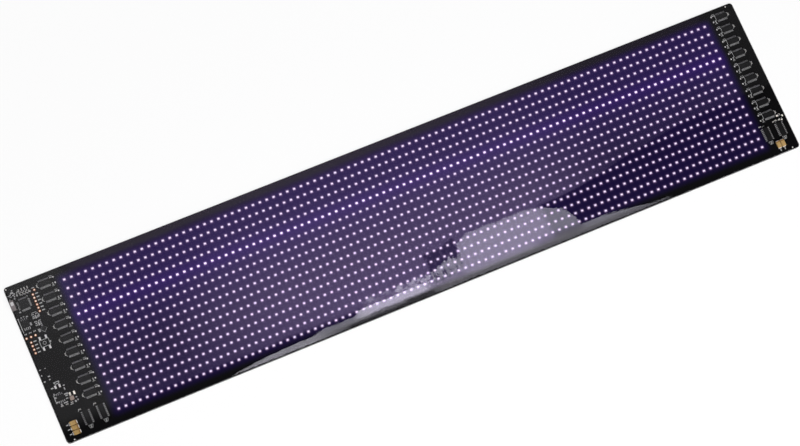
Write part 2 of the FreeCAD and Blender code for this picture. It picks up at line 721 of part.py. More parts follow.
def shell_outline(sketch, wall):
    """Mouth of the inlet: square above, with sloped corners below."""
    half_width = f"inlet_width / 2 - {wall}"
    half_base = f"inlet_base / 2 - {wall} / 2"
    right = (
        (half_width, f"inlet_height - {wall}"),
        (half_width, f"inlet_chin + {wall} / 4"),
        (half_base, wall),
    )
    count = 2 * len(right)
    first = close_loop(sketch, ring_across(count))
    for k, (x, y) in enumerate(right):
        pin_point(sketch, first + k, x, y)
        twin = first + count - 1 - k
        sketch.addConstraint(Sketcher.Constraint("Symmetric", first + k, 1, twin, 1, -2))


def inlet_shell():
    """Bent metal shell of the power inlet, open at the left edge of the sign."""
    body = doc.addObject("PartDesign::Body", "Inlet")
    outside = new_sketch(body, "Inlet_outside", "YZ_Plane")
    shell_outline(outside, "0")
    pad(body, outside, "inlet_depth")
    inside = new_sketch(body, "Inlet_inside", "YZ_Plane")
    shell_outline(inside, "inlet_wall")
    hollow(body, inside, "inlet_depth - inlet_wall")
    place(body, from_left("0"), from_top("inlet_drop"))
    return node(body, "inlet_shell")


def inlet_tongue():
    """Contact tongue, held by the inlet's rear wall."""
    tongue = doc.addObject("Part::Box", "Tongue")
    bind(tongue, "Length", "inlet_depth - inlet_wall - tongue_setback")
    bind(tongue, "Width", "tongue_width")
    bind(tongue, "Height", "tongue_height")
    y = from_top("inlet_drop + tongue_width / 2")
    place(tongue, from_left("tongue_setback"), y, f"{BOARD_TOP} + tongue_rise")
    return node(tongue, "inlet_tongue")


# Small parts and pads


def brick(name, length, width, height, x, y):
    """Make a block about a point of the circuit's face."""
    item = doc.addObject("Part::Box", name)
    for prop, formula in (("Length", length), ("Width", width), ("Height", height)):
        bind(item, prop, formula)
    place(item, f"{x} - {length} / 2", f"{y} - {width} / 2")
    return item


def disc(name, diameter, x, y):
    """Make a round metal pad on the circuit, with few sides because there are many."""
    item = doc.addObject("Part::Prism", name)
    item.Polygon = DISC_SIDES
    bind(item, "Circumradius", f"{diameter} / 2")
    bind(item, "Height", "pad_thickness")
    place(item, x, y)
    return item


def group(name, items):
    """Keep several loose solids as one sub-part."""
    made = doc.addObject("Part::Compound", name.title())
    made.Links = items
    return node(made, name)


def passive(name, x, y, upright):
    """Make one chip resistor or capacitor, along X or along Y."""
    sides = ("passive_length", "passive_width")
    length, width = reversed(sides) if upright else sides
    return brick(name, length, width, "passive_height", x, y)


def end_places():
    """Give label, way to the field and the place of each column driver."""
    for side, inward in (("left", 1), ("right", -1)):
        for k in range(int(sheet.get("driver_count"))):
            x, y = from_end(side, DRIVER_INSETS[side]), from_top(driver_drop(side, k))
            yield f"{side}_{k + 1}", inward, x, y


def driver_capacitors():
    """One capacitor outside each column driver."""
    items = []
    for label, inward, x, y in end_places():
        items.append(passive(f"Cap_{label}", f"{x} - {inward} * {OUTER_REACH}", y, True))
    return group("driver_capacitors", items)


def driver_resistors():
    """Two resistors between each column driver and the field."""
    items = []
    for label, inward, x, y in end_places():
        reach = f"{x} + {inward} * {INNER_REACH}"
        items.append(passive(f"Res_a_{label}", reach, f"{y} + inner_offset", False))
        items.append(passive(f"Res_b_{label}", reach, f"{y} - inner_offset", True))
    return group("driver_resistors", items)


def row_driver_parts():
    """Two small parts at the ends of each row driver."""
    items = []
    for side, k, x, y in scan_places():
        label = f"{side}_{k}"
        upper = f"{x} - scan_part_offset"
        items.append(passive(f"Scan_a_{label}", upper, f"{y} + {SCAN_REACH}", False))
        items.append(passive(f"Scan_b_{label}", x, f"{y} - {SCAN_REACH}", True))
    return group("row_driver_parts", items)


def tantalum_right_inset(k):
    """Give the distance of a right tantalum capacitor from the right edge."""
    near = "scan_right_inset + (passive_width + tantalum_width) / 2 + tantalum_right_gap"
    return f"{near} + {k} * {TANTALUM_PITCH}"


def tantalum_places():
    """Give the sizes and place of each tantalum capacitor."""
    length, width = "tantalum_length", "tantalum_width"
    for k in range(int(sheet.get("tantalum_left_count"))):
        rise = f"tantalum_left_rise + {k} * {TANTALUM_PITCH}"
        yield length, width, from_left("tantalum_left_inset"), from_foot(rise)
    for k in range(int(sheet.get("tantalum_right_count"))):
        x, y = from_right(tantalum_right_inset(k)), from_foot("tantalum_right_rise")
        yield width, length, x, y


def tantalum_capacitors():
    """Moulded amber capacitors at the lower corners."""
    items = []
    for k, (length, width, x, y) in enumerate(tantalum_places(), start=1):
        items.append(brick(f"Tantalum_{k}", length, width, "tantalum_height", x, y))
    return group("tantalum_capacitors", items)


def bank_capacitors():
    """Capacitors above the microcontroller and under the regulator."""
    items = []
    for column in range(int(sheet.get("upper_bank_columns"))):
        for row in range(int(sheet.get("upper_bank_rows"))):
            x = from_left(f"{UPPER_BANK_INSET} + {column} * upper_bank_pitch_x")
            y = from_top(f"upper_bank_drop + {row} * upper_bank_pitch_y")
            items.append(passive(f"Upper_{column}_{row}", x, y, True))
    for column in range(int(sheet.get("power_bank_columns"))):
        x = from_left(f"power_bank_inset + {column} * power_bank_pitch")
        items.append(passive(f"Power_{column}", x, from_foot(POWER_BANK_RISE), False))
    return group("bank_capacitors", items)


def turned_resistor(number, turn):
    """Make one of the resistors near the corner, set at an angle."""
    body = doc.addObject("PartDesign::Body", f"Turned_{number}")
    sketch = new_sketch(body, f"Turned_{number}_outline")
    rectangle(sketch, "passive_length", "passive_width")
    pad(body, sketch, "passive_height")
    x = from_left(f"corner_parts_inset + {number} * corner_parts_step")
    place(body, x, from_top("corner_parts_drop"), turn=turn)
    return body


def bank_resistors():
    """Resistors beside and under the memory chip, and near the upper left corner."""
    items = [turned_resistor(number, turn) for number, turn in enumerate(CORNER_TURNS)]
    for column in range(int(sheet.get("middle_bank_columns"))):
        for row in range(int(sheet.get("middle_bank_rows"))):
            x = from_left(f"{MIDDLE_BANK_INSET} + {column} * middle_bank_pitch_x")
            y = from_top(f"{MIDDLE_BANK_DROP} + {row} * middle_bank_pitch_y")
            items.append(passive(f"Middle_{column}_{row}", x, y, False))
    for column in range(int(sheet.get("lower_bank_columns"))):
        x = from_left(f"lower_bank_inset + {column} * lower_bank_pitch")
        items.append(passive(f"Lower_{column}", x, from_top(LOWER_BANK_DROP), False))
    return group("bank_resistors", items)


def protection_diodes():
    """Two diodes beside the outer row driver of the right end."""
    size = ("diode_length", "diode_width", "diode_height")
    items = []
    for k in range(int(sheet.get("diode_count"))):
        y = from_foot(f"{DIODE_RISE} + {k} * diode_step")
        items.append(brick(f"Diode_{k}", *size, from_right("diode_inset"), y))
    return group("protection_diodes", items)


def power_inductor():
    """Shielded inductor with cut corners."""
    body = doc.addObject("PartDesign::Body", "Coil")
    sketch = new_sketch(body, "Coil_outline")
    rectangle(sketch, "coil_side", "coil_side")
    block = pad(body, sketch, "coil_height")
    dress_edges(body, block, "Chamfer", "Size", "coil_edge", is_upright)
    place(body, from_left(COIL_INSET), from_foot(COIL_RISE))
    return node(body, "power_inductor")


def crystal():
    """Square crystal can, standing on its corner in plan."""
    can = doc.addObject("Part::Prism", "Can")
    can.Polygon = CAN_SIDES
    bind(can, "Circumradius", HALF_CRYSTAL)
    bind(can, "Height", "crystal_height")
    place(can, from_left(CRYSTAL_INSET), from_top(CRYSTAL_DROP))
    return node(can, "crystal")


def contact_places():
    """Give the place of each gilt contact pad."""
    yield from_left(LONE_INSET), from_top("lone_drop")
    for k in range(int(sheet.get("port_count"))):
        yield from_left(PORT_INSET), from_top(f"port_drop + {k} * port_pitch")
    for k in range(int(sheet.get("trio_count"))):
        yield from_left(f"trio_inset + {k} * trio_pitch"), from_top(TRIO_DROP)
    for k in range(int(sheet.get("service_count"))):
        yield from_left("service_inset"), from_top(f"{SERVICE_DROP} + {k} * service_pitch")


def contact_pads():
    """Gilt pads for loading the controller."""
    items = []
    for k, (x, y) in enumerate(contact_places(), start=1):
        items.append(disc(f"Contact_{k}", "contact_diameter", x, y))
    return group("contact_pads", items)


def tinned_places():
    """Give the place of each large tinned pad."""
    for along in (-1, 1):
        for across in (-1, 1):
            x = from_left(f"switch_inset + {along} * switch_pad_x / 2")
            yield x, from_top(f"{SWITCH_DROP} + {across} * switch_pad_y / 2")
    for name, rise in (("supply", SUPPLY_RISE), ("output", OUTPUT_RISE)):
        for k in range(2):
            yield from_left(f"{name}_inset + {k} * supply_pitch"), from_foot(rise)


def tinned_pads():
    """Tinned pads of the unfitted switch and of the supply and output wires."""
    items = []
    size = ("tinned_width", "tinned_length", "pad_thickness")
    for k, (x, y) in enumerate(tinned_places(), start=1):
        items.append(brick(f"Tinned_{k}", *size, x, y))
    return group("tinned_pads", items)


def alignment_marks():
    """Round marks near the four corners of the circuit."""
    places = (
        (from_left(MARK_NEAR), from_top(MARK_NEAR)),
        (from_left("mark_far"), from_foot(MARK_NEAR)),
        (from_right("mark_far"), from_top(MARK_NEAR)),
        (from_right("mark_far"), from_foot(MARK_NEAR)),
    )
    items = [disc(f"Mark_{k}", "mark_diameter", x, y) for k, (x, y) in enumerate(places)]
    return group("alignment_marks", items)


def bank_room(name, columns, rows, inset, drop, upright):
    """Give the bay over a bank of small parts that starts at its upper left one."""
    sides = ("passive_length", "passive_width")
    part_x, part_y = reversed(sides) if upright else sides
    run_x, run_y = (f"({count} - 1) * {pitch}" for count, pitch in (columns, rows))
    x = from_left(f"{inset} + {run_x} / 2")
    y = from_top(f"{drop} + {run_y} / 2")
    return name, x, y, f"{run_x} + {part_x}", f"{run_y} + {part_y}", "passive_height"


def control_rooms():
    """Give name, place, sides and height of each bay of the left and right ends."""
    x, y = from_left(MCU_INSET), from_top(MCU_DROP)
    yield "Mcu_bay", x, y, "mcu_span", "mcu_span", "mcu_height"
    x, y = from_left("memory_inset"), from_top(MEMORY_DROP)
    yield "Memory_bay", x, y, "memory_side", "memory_span", "memory_height"
    x, y = from_left("regulator_inset"), from_foot(REGULATOR_RISE)
    yield "Regulator_bay", x, y, "regulator_length", "regulator_span", "regulator_height"
    x, y = from_left(COIL_INSET), from_foot(COIL_RISE)
    yield "Coil_bay", x, y, "coil_side", "coil_side", "coil_height"
    x, y = from_left(CRYSTAL_INSET), from_top(CRYSTAL_DROP)
    yield "Crystal_bay", x, y, f"2 * {HALF_CRYSTAL}", f"2 * {HALF_CRYSTAL}", "crystal_height"
    x, y = from_left(f"corner_parts_inset + {CORNER_RUN} / 2"), from_top("corner_parts_drop")
    wide, tall = f"{CORNER_RUN} + 2 * {HALF_TURNED}", f"2 * {HALF_TURNED}"
    yield "Corner_bay", x, y, wide, tall, "passive_height"
    run = "(power_bank_columns - 1) * power_bank_pitch"
    x, y = from_left(f"power_bank_inset + {run} / 2"), from_foot(POWER_BANK_RISE)
    yield "Power_bay", x, y, f"{run} + passive_length", "passive_width", "passive_height"
    run = "(diode_count - 1) * diode_step"
    x, y = from_right("diode_inset"), from_foot(f"{DIODE_RISE} + {run} / 2")
    yield "Diode_bay", x, y, "diode_length", f"{run} + diode_width", "diode_height"
    yield from bank_rooms()
    yield from tantalum_rooms()


def bank_rooms():
    """Give one bay over each bank of small parts beside the large chips."""
    upper_pitches = ("upper_bank_columns", "upper_bank_pitch_x"), (
        "upper_bank_rows",
        "upper_bank_pitch_y",
    )
    middle_pitches = ("middle_bank_columns", "middle_bank_pitch_x"), (
        "middle_bank_rows",
        "middle_bank_pitch_y",
    )
    lower_pitches = ("lower_bank_columns", "lower_bank_pitch"), ("1", "0")
    yield bank_room("Upper_bay", *upper_pitches, UPPER_BANK_INSET, "upper_bank_drop", True)
    yield bank_room("Middle_bay", *middle_pitches, MIDDLE_BANK_INSET, MIDDLE_BANK_DROP, False)
    yield bank_room("Lower_bay", *lower_pitches, "lower_bank_inset", LOWER_BANK_DROP, False)


def tantalum_rooms():
    """Give one bay over each set of tantalum capacitors."""
    run = f"(tantalum_left_count - 1) * {TANTALUM_PITCH}"
    x, y = from_left("tantalum_left_inset"), from_foot(f"tantalum_left_rise + {run} / 2")
    width = f"{run} + tantalum_width"
    yield "Tantalum_left", x, y, "tantalum_length", width, "tantalum_height"
    middle = "(tantalum_right_count - 1) / 2"
    x, y = from_right(tantalum_right_inset(middle)), from_foot("tantalum_right_rise")
    width = f"2 * {middle} * {TANTALUM_PITCH} + tantalum_width"
    yield "Tantalum_right", x, y, width, "tantalum_length", "tantalum_height"


def build():
    """Build every sub-part."""
    back_sheet()
    flex_circuit()
    clear_coat()
    for row in range(int(sheet.get("led_rows"))):
        led_row(row + 1)
    for side in ("left", "right"):
        for number in range(int(sheet.get("driver_count"))):
            column_driver(side, number + 1)
    for side, number, x, y in scan_places():
        row_driver(side, number, x, y)
    for make in (
        microcontroller,
        memory_chip,
        power_regulator,
        power_inductor,
        crystal,
        inlet_shell,
        inlet_tongue,
        driver_capacitors,
        driver_resistors,
        row_driver_parts,
        tantalum_capacitors,
        bank_capacitors,
        bank_resistors,
        protection_diodes,
        contact_pads,
        tinned_pads,
        alignment_marks,
    ):
        make()


def check():
    """Stop if an object failed or a sub-part has no sound solid."""
    for item in doc.Objects:
        if {"Invalid", "Error"} & set(item.State):
            raise RuntimeError(f"{item.Label} failed: {item.State}")
    for item in nodes:
        shape = item.Shape
        if shape.isNull() or not shape.isValid() or not shape.Solids:
            raise RuntimeError(f"{item.Label} has no sound solid")


build()
doc.recompute()
check()
os.makedirs("parts", exist_ok=True)
for item in nodes:
    item.Shape.exportStep(f"parts/{item.Label}.step")
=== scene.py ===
"""Looks of a flexible programmable LED sign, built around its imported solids."""

import logging
import math
from collections.abc import Callable, Iterable, Iterator
from dataclasses import dataclass, field
from enum import Enum
from functools import cache, partial

import bpy
from mathutils import Matrix, Vector

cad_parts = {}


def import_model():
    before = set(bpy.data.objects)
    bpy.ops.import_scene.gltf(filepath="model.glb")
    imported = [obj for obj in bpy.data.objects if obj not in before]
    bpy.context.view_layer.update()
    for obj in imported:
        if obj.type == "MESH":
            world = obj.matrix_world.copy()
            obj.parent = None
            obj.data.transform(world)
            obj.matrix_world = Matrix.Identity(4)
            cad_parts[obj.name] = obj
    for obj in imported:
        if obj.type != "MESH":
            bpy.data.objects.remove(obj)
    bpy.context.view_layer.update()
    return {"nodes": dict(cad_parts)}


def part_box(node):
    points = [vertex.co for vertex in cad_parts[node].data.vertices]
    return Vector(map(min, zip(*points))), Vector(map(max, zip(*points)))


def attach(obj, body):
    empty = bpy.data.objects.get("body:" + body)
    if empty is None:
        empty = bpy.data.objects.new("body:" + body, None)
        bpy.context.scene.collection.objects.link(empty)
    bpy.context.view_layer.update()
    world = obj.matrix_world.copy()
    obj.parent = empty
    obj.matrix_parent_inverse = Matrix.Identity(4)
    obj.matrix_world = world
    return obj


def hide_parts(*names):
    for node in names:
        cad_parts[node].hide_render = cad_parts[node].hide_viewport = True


logging.basicConfig(level=logging.INFO, format="%(name)s: %(message)s")
log = logging.getLogger("led_sign")

MM = 0.001
TOLERANCE = 0.01 * MM
UPWARDS = 0.9
DRIVERS = 9
ROOT = "root"
Colour = tuple[float, float, float]
Piece = bpy.types.Object


class Pick(Enum):
    """Kind of mesh element that an edit works on."""

    EDGES = (False, True, False)
    FACES = (False, False, True)


# Shader maths


class Plug:
    """A shader value that is used in Python expressions."""

    def __init__(self, surface: "Surface", socket: bpy.types.NodeSocket) -> None:
        """Keep the surface that the value belongs to and its output socket."""
        self.surface = surface
        self.socket = socket

    def math(self, operation: str, *others: "Plug | float") -> "Plug":
        """Put the value through a Math node."""
        return self.surface.math(operation, self, *others)

    def __add__(self, other: "Plug | float") -> "Plug":
        """Add."""
        return self.math("ADD", other)

    __radd__ = __add__

    def __sub__(self, other: "Plug | float") -> "Plug":
        """Subtract."""
        return self.math("SUBTRACT", other)

    def __rsub__(self, other: "Plug | float") -> "Plug":
        """Subtract this value from another."""
        return self.surface.math("SUBTRACT", other, self)

    def __mul__(self, other: "Plug | float") -> "Plug":
        """Multiply."""
        return self.math("MULTIPLY", other)

    def __truediv__(self, other: "Plug | float") -> "Plug":
        """Divide."""
        return self.math("DIVIDE", other)

    def wrapped(self, start: float, pitch: float) -> "Plug":
        """Give the signed distance to the nearest of many evenly spaced places."""
        return (((self - start) / pitch + 0.5).math("FRACT") - 0.5) * pitch

    def rise(self, low: float, high: float) -> "Plug":
        """Go smoothly from 0 at low to 1 at high."""
        settings = {"interpolation_type": "SMOOTHSTEP"}
        return self.surface.add("MapRange", {0: self, 1: low, 2: high}, settings)

    def inside(self, low: float, high: float, soft: float) -> "Plug":
        """Be 1 between two values and fade to 0 over a soft edge."""
        return self.rise(low - soft, low) * (1 - self.rise(high, high + soft))


class Surface:
    """Node tree of a material or of the world, emptied and built anew."""

    def __init__(self, tree: bpy.types.NodeTree) -> None:
        """Take a node tree and clear it."""
        self.tree = tree
        tree.nodes.clear()

    def add(
        self,
        kind: str,
        inputs: dict | None = None,
        settings: dict | None = None,
        output: int | str = 0,
    ) -> Plug:
        """Add one node.

        Args:
            kind: The node's type, without the ShaderNode that all begin with.
            inputs: Values or links, by a socket's name or number.
            settings: Its own properties, set before its sockets.
            output: The output that is handed on.

        Returns:
            The chosen output as a value for expressions.
        """
        node = self.tree.nodes.new(f"ShaderNode{kind}")
        for name, value in (settings or {}).items():
            setattr(node, name, value)
        for key, value in (inputs or {}).items():
            self.feed(node.inputs[key], value)
        return Plug(self, node.outputs[output]) if node.outputs else Plug(self, None)

    def feed(self, socket: bpy.types.NodeSocket, value: object) -> None:
        """Link a value to a socket, or set a constant on it."""
        if isinstance(value, Plug):
            self.tree.links.new(value.socket, socket)
        elif socket.type == "RGBA" and len(value) == 3:
            socket.default_value = (*value, 1.0)
        else:
            socket.default_value = value

    def math(self, operation: str, *values: Plug | float) -> Plug:
        """Add a Math node over one to three values."""
        return self.add("Math", dict(enumerate(values)), {"operation": operation})

    def blend(self, first: object, second: object, factor: Plug | float) -> Plug:
        """Mix two colours."""
        sockets = {0: factor, 6: first, 7: second}
        return self.add("Mix", sockets, {"data_type": "RGBA"}, 2)

    def tint(self, colour: Colour, amount: Plug) -> Plug:
        """Scale a colour by a value."""
        inputs = {0: colour, "Scale": amount}
        return self.add("VectorMath", inputs, {"operation": "SCALE"})

    def sum(self, first: Plug, *others: Plug) -> Plug:
        """Add colours."""
        total = first
        for other in others:
            total = self.add("VectorMath", {0: total, 1: other}, {"operation": "ADD"})
        return total

    def place(self) -> Plug:
        """Give the Object coordinates."""
        return self.add("TexCoord", output="Object")

    def axes(self) -> tuple[Plug, Plug, Plug]:
        """Give the Object coordinates as three values in millimetres."""
        split = self.add("SeparateXYZ", {0: self.place()})
        node = split.socket.node
        return tuple(Plug(self, node.outputs[k]) / MM for k in range(3))

    def noise(self, grain: float, detail: float = 2.0, rough: float = 0.5) -> Plug:
        """Give a noise whose features are about a grain in size, in metres."""
        inputs = {"Vector": self.place(), "Scale": 1 / grain, "Detail": detail}
        return self.add("TexNoise", {**inputs, "Roughness": rough}, output="Fac")

    def streaks(self, across: Plug, along: Plug) -> Plug:
        """Give a noise over two values, one grain to each unit."""
        spot = self.add("CombineXYZ", {0: across, 1: along})
        inputs = {"Vector": spot, "Scale": 1.0, "Detail": 3.0, "Roughness": 0.6}
        return self.add("TexNoise", inputs, output="Fac")

    def bump(self, height: Plug, depth: float) -> Plug:
        """Turn a height from 0 to 1 into a normal, for a real depth in metres."""
        inputs = {"Height": height, "Distance": depth, "Strength": 1.0}
        return self.add("Bump", inputs, output="Normal")

    def finish(self, shader: Plug, output: str = "OutputMaterial") -> None:
        """Link the last shader to the output."""
        self.add(output, {0: shader})


def bare_material(name: str) -> tuple[bpy.types.Material, Surface]:
    """Make a material without nodes, with the surface that builds them."""
    made = bpy.data.materials.new(name)
    made.use_nodes = True
    return made, Surface(made.node_tree)


# Finishes


@dataclass(frozen=True)
class Finish:
    """A plain finish with a grain in its colour, gloss and relief."""

    name: str
    colour: Colour
    worn: Colour
    roughness: float = 0.5
    metallic: float = 0.0
    grain: float = 0.6 * MM
    relief: float = 0.01 * MM
    contrast: float = 0.12
    gloss: float = 0.12
    shine: float = 1.0

    @cache
    def material(self) -> bpy.types.Material:
        """Give the finish's material, made at its first use."""
        made, surface = bare_material(self.name)
        self.build(surface)
        return made

    def build(self, surface: Surface) -> None:
        """Build the finish's nodes."""
        fine = surface.noise(self.grain, detail=4.0)
        broad = surface.noise(self.grain * 14).rise(0.35, 0.7)
        self.shade(surface, broad * 0.5 + fine * 0.5, fine, fine)

    def shade(
        self, surface: Surface, wear: Plug, fine: Plug, height: Plug, light: Plug | None = None
    ) -> None:
        """End with the standard shader.

        Args:
            surface: The material's surface.
            wear: How far the colour goes towards the worn one.
            fine: The grain in the gloss.
            height: The grain in the relief.
            light: The colour that shines out, if any.
        """
        inputs = {
            "Base Color": surface.blend(self.colour, self.worn, wear),
            "Roughness": fine * self.contrast + (self.roughness - self.contrast / 2),
            "Metallic": self.metallic,
            "Specular IOR Level": self.gloss,
            "Normal": surface.bump(height, self.relief),
        }
        if light:
            inputs |= {"Emission Color": light, "Emission Strength": self.shine}
        surface.finish(surface.add("BsdfPrincipled", inputs))


@dataclass(frozen=True)
class CircuitMask(Finish):
    """Black solder mask with the violet glow that the packages throw on it, painted in as its
    emission.
    """

    first: tuple[float, float] = (0.0, 0.0)
    last: tuple[float, float] = (0.0, 0.0)
    pitch: tuple[float, float] = (5.3, 6.6)
    bright_row: int = 4
    # colours of painted light: the packages' glow on the mask, its brighter upper half, the halos
    # and the brightest row's band
    glow: Colour = (0.0050, 0.0006, 0.0320)
    upper_glow: Colour = (0.0038, 0.0004, 0.0205)
    halo: Colour = (0.046, 0.032, 0.060)
    painted_row_glow: Colour = (0.0060, 0.0, 0.0310)
    halo_reach: float = 1.5
    painted_row_glow_reach: float = 6.5
    fade: float = 6.5

    def build(self, surface: Surface) -> None:
        """Build the mask: traces, and the packages' light painted in as emission: glow of the
        field, halos and a glowing band along the brightest row.
        """
        x, y, _ = surface.axes()
        fine = surface.noise(self.grain, detail=4.0)
        clouds = surface.noise(self.grain * 60)
        traces = (x + y * 0.15).wrapped(0.0, 1.9).math("ABSOLUTE").rise(0.42, 0.36)
        (left, top), (right, foot) = self.first, self.last
        field_mask = x.inside(left - 1, right + 1, self.fade) * y.inside(foot, top, self.fade)
        across, along = x.wrapped(left, self.pitch[0]), y.wrapped(top, self.pitch[1])
        near = (across * across + along * along) * (-1 / self.halo_reach**2)
        halo = near.math("EXPONENT") * x.inside(left - 2, right + 2, 0.4)
        halo = halo * y.inside(foot - 2, top + 2, 0.4)
        row = y - (top - self.bright_row * self.pitch[1])
        painted_row_glow = (row * row * (-1 / self.painted_row_glow_reach**2)).math("EXPONENT") * field_mask
        upper = y.rise(-20.0, 20.0) * field_mask
        # painted light: the glow that the packages cast on the mask is the mask's own emission
        emission = surface.sum(
            surface.tint(self.glow, field_mask * (clouds * 0.3 + 0.85)),
            surface.tint(self.upper_glow, upper),
            surface.tint(self.halo, halo),
            surface.tint(self.painted_row_glow, painted_row_glow),
        )
        height = traces * 0.6 + fine * 0.4
        self.shade(surface, traces * 0.35 + fine * 0.4, fine, height, emission)


@dataclass(frozen=True)
class LitPackage(Finish):
    """White package with a shining well, violet towards its rim."""

    roughness: float = 0.56
    first: tuple[float, float] = (0.0, 0.0)
    pitch: tuple[float, float] = (5.3, 6.6)
    heart: Colour = (0.90, 0.84, 0.98)
    rim: Colour = (0.20, 0.10, 0.26)
    shine: float = 1.03
    well: float = 0.42
    edge: float = 0.95
    spread: float = 1.22

    def build(self, surface: Surface) -> None:
        """Build the package with its light."""
        x, y, _ = surface.axes()
        fine = surface.noise(self.grain, detail=3.0)
        across = x.wrapped(self.first[0], self.pitch[0])
        along = y.wrapped(self.first[1], self.pitch[1])
        wide, low = across / self.spread, along * self.spread
        reach = (wide * wide + low * low).math("SQRT")
        light = surface.blend(self.heart, self.rim, reach.rise(self.well, self.edge))
        self.shade(surface, fine, fine, fine, light)


@dataclass(frozen=True)
class PouredResin(Finish):
    """Clear poured coat: see-through, with a wavy gloss on its outside."""

    index: float = 1.45
    wave: float = 46 * MM
    wave_depth: float = 0.02 * MM
    ripple: float = 2.6 * MM
    ripple_depth: float = 0.0018 * MM

    def build(self, surface: Surface) -> None:
        """Build the coat from a see-through part and a mirror part."""
        broad = surface.noise(self.wave, detail=1.0)
        ripples = surface.noise(self.ripple, detail=3.0, rough=0.6)
        patch = surface.noise(self.wave * 0.4).rise(0.48, 0.62)
        height = broad + ripples * patch * (self.ripple_depth / self.wave_depth)
        normal = surface.bump(height, self.wave_depth)
        fresnel = surface.add("Fresnel", {"IOR": self.index, "Normal": normal})
        back = surface.add("NewGeometry", output="Backfacing")
        clear = surface.add("BsdfTransparent", {"Color": self.worn})
        inputs = {
            "Base Color": self.colour,
            "Metallic": self.metallic,
            "Roughness": self.roughness,
            "Normal": normal,
        }
        mirror = surface.add("BsdfPrincipled", inputs)
        factor = fresnel * (1 - back)
        surface.finish(surface.add("MixShader", {0: factor, 1: clear, 2: mirror}))


class Finishes:
    """All finishes of the sign."""

    backing = Finish("soft_backing", (0.012, 0.012, 0.013), (0.02, 0.02, 0.021), 0.72)
    dull, black = (0.0125, 0.0125, 0.013), (0.0078, 0.0078, 0.0081)
    epoxy = Finish("moulded_epoxy", black, dull, 0.55, 0, 0.12 * MM, gloss=0.05)
    lead = Finish("tinned_lead", (0.47, 0.47, 0.465), (0.35, 0.35, 0.345), 0.38, 0.35, 0.3 * MM)
    solder = Finish("tinned_pad", (0.80, 0.79, 0.77), (0.62, 0.61, 0.60), 0.38, 0.35)
    # painted highlight: a lighter copy of the tinned solder, for pads and lands that catch the
    # light
    bright = Finish("solder_painted_highlight", (1.0, 0.95, 0.88), (0.92, 0.84, 0.75), 0.34)
    gilt = Finish("gilt_pad", (0.74, 0.26, 0.07), (0.56, 0.17, 0.04), 0.42, 0.3)
    ceramic = Finish("capacitor_ceramic", (0.24, 0.23, 0.22), (0.33, 0.32, 0.30), 0.5)
    film = Finish("resistor_film", (0.19, 0.19, 0.19), (0.26, 0.26, 0.26), 0.45)
    amber = Finish("amber_resin", (0.24, 0.135, 0.034), (0.48, 0.32, 0.13), 0.45, 0, 0.9 * MM)
    band = Finish("amber_band", (0.16, 0.08, 0.018), (0.22, 0.11, 0.03), 0.5)
    ferrite = Finish("sintered_ferrite", (0.22, 0.17, 0.15), (0.34, 0.27, 0.23), 0.6)
    can = Finish("crystal_can", (0.012, 0.012, 0.013), (0.03, 0.03, 0.03), 0.35, 0.3)
    steel = Finish("stamped_shell", (0.19, 0.17, 0.165), (0.30, 0.27, 0.26), 0.36, 0.5)
    plastic = Finish("connector_plastic", (0.02, 0.02, 0.02), (0.035, 0.035, 0.035), 0.5)
    ink = Finish("print_ink", (0.46, 0.465, 0.465), (0.34, 0.345, 0.345), 0.6, 0, 0.2 * MM)
    resin = PouredResin("poured_resin", (1.0, 1.0, 1.0), (0.975, 0.975, 0.975), 0.006, 1.0)


# Mesh work


def focus(piece: Piece) -> None:
    """Make a piece the only selected one."""
    bpy.ops.object.select_all(action="DESELECT")
    piece.select_set(True)
    bpy.context.view_layer.objects.active = piece


def settle(piece: Piece) -> Piece:
    """Move a piece's place, turn and scale into its mesh."""
    focus(piece)
    bpy.ops.object.transform_apply(location=True, rotation=True, scale=True)
    return piece


def shape(kind: str, **settings: object) -> Piece:
    """Add one of the primitive meshes as the only selected piece."""
    bpy.ops.object.select_all(action="DESELECT")
    getattr(bpy.ops.mesh, f"primitive_{kind}_add")(**settings)
    return bpy.context.object


def up(height: float) -> Vector:
    """Give an upright vector."""
    return Vector((0.0, 0.0, height))


def block(low: Vector, high: Vector, turn: float = 0.0) -> Piece:
    """Add a block between two corners, turned about its own upright middle line."""
    place = {"location": (low + high) / 2, "rotation": (0.0, 0.0, turn), "scale": high - low}
    return settle(shape("cube", size=1.0, **place))


def edit(piece: Piece, kind: Pick, wanted: Callable, work: Callable[[], object]) -> Piece:
    """Run edit-mode work on the edges or faces that a test picks.

    Args:
        piece: The mesh object.
        kind: Whether the test is given edges or faces.
        wanted: For a face, gets its middle and normal; for an edge, its two ends.
        work: The operators to run.

    Returns:
        The same piece.
    """
    focus(piece)
    mesh = piece.data
    for group in (mesh.vertices, mesh.edges, mesh.polygons):
        group.foreach_set("select", [False] * len(group))
    if kind is Pick.FACES:
        for face in mesh.polygons:
            face.select = wanted(face.center, face.normal)
    else:
        for edge in mesh.edges:
            edge.select = wanted(*(mesh.vertices[k].co for k in edge.vertices))
    bpy.context.tool_settings.mesh_select_mode = kind.value
    bpy.ops.object.mode_set(mode="EDIT")
    work()
    bpy.ops.object.mode_set(mode="OBJECT")
    return piece


def extrude(offset: Vector) -> None:
    """Extrude what is selected by an offset."""
    bpy.ops.mesh.extrude_region_move(TRANSFORM_OT_translate={"value": tuple(offset)})


def modify(piece: Piece, kind: str, **settings: object) -> Piece:
    """Add a modifier and apply it."""
    focus(piece)
    added = piece.modifiers.new(kind.lower(), kind)
    for name, value in settings.items():
        setattr(added, name, value)
    bpy.ops.object.modifier_apply(modifier=added.name)
    return piece


def line_up(piece: Piece, count: int, pitch: float) -> Piece:
    """Repeat a piece along X."""
    steps = {"use_constant_offset": True, "constant_offset_displace": (pitch, 0.0, 0.0)}
    return modify(piece, "ARRAY", count=count, use_relative_offset=False, **steps)


def carve(piece: Piece, cutter: Piece) -> Piece:
    """Cut a piece by another one, which then goes."""
    modify(piece, "BOOLEAN", operation="DIFFERENCE", object=cutter, solver="EXACT")
    discard(cutter)
    return piece


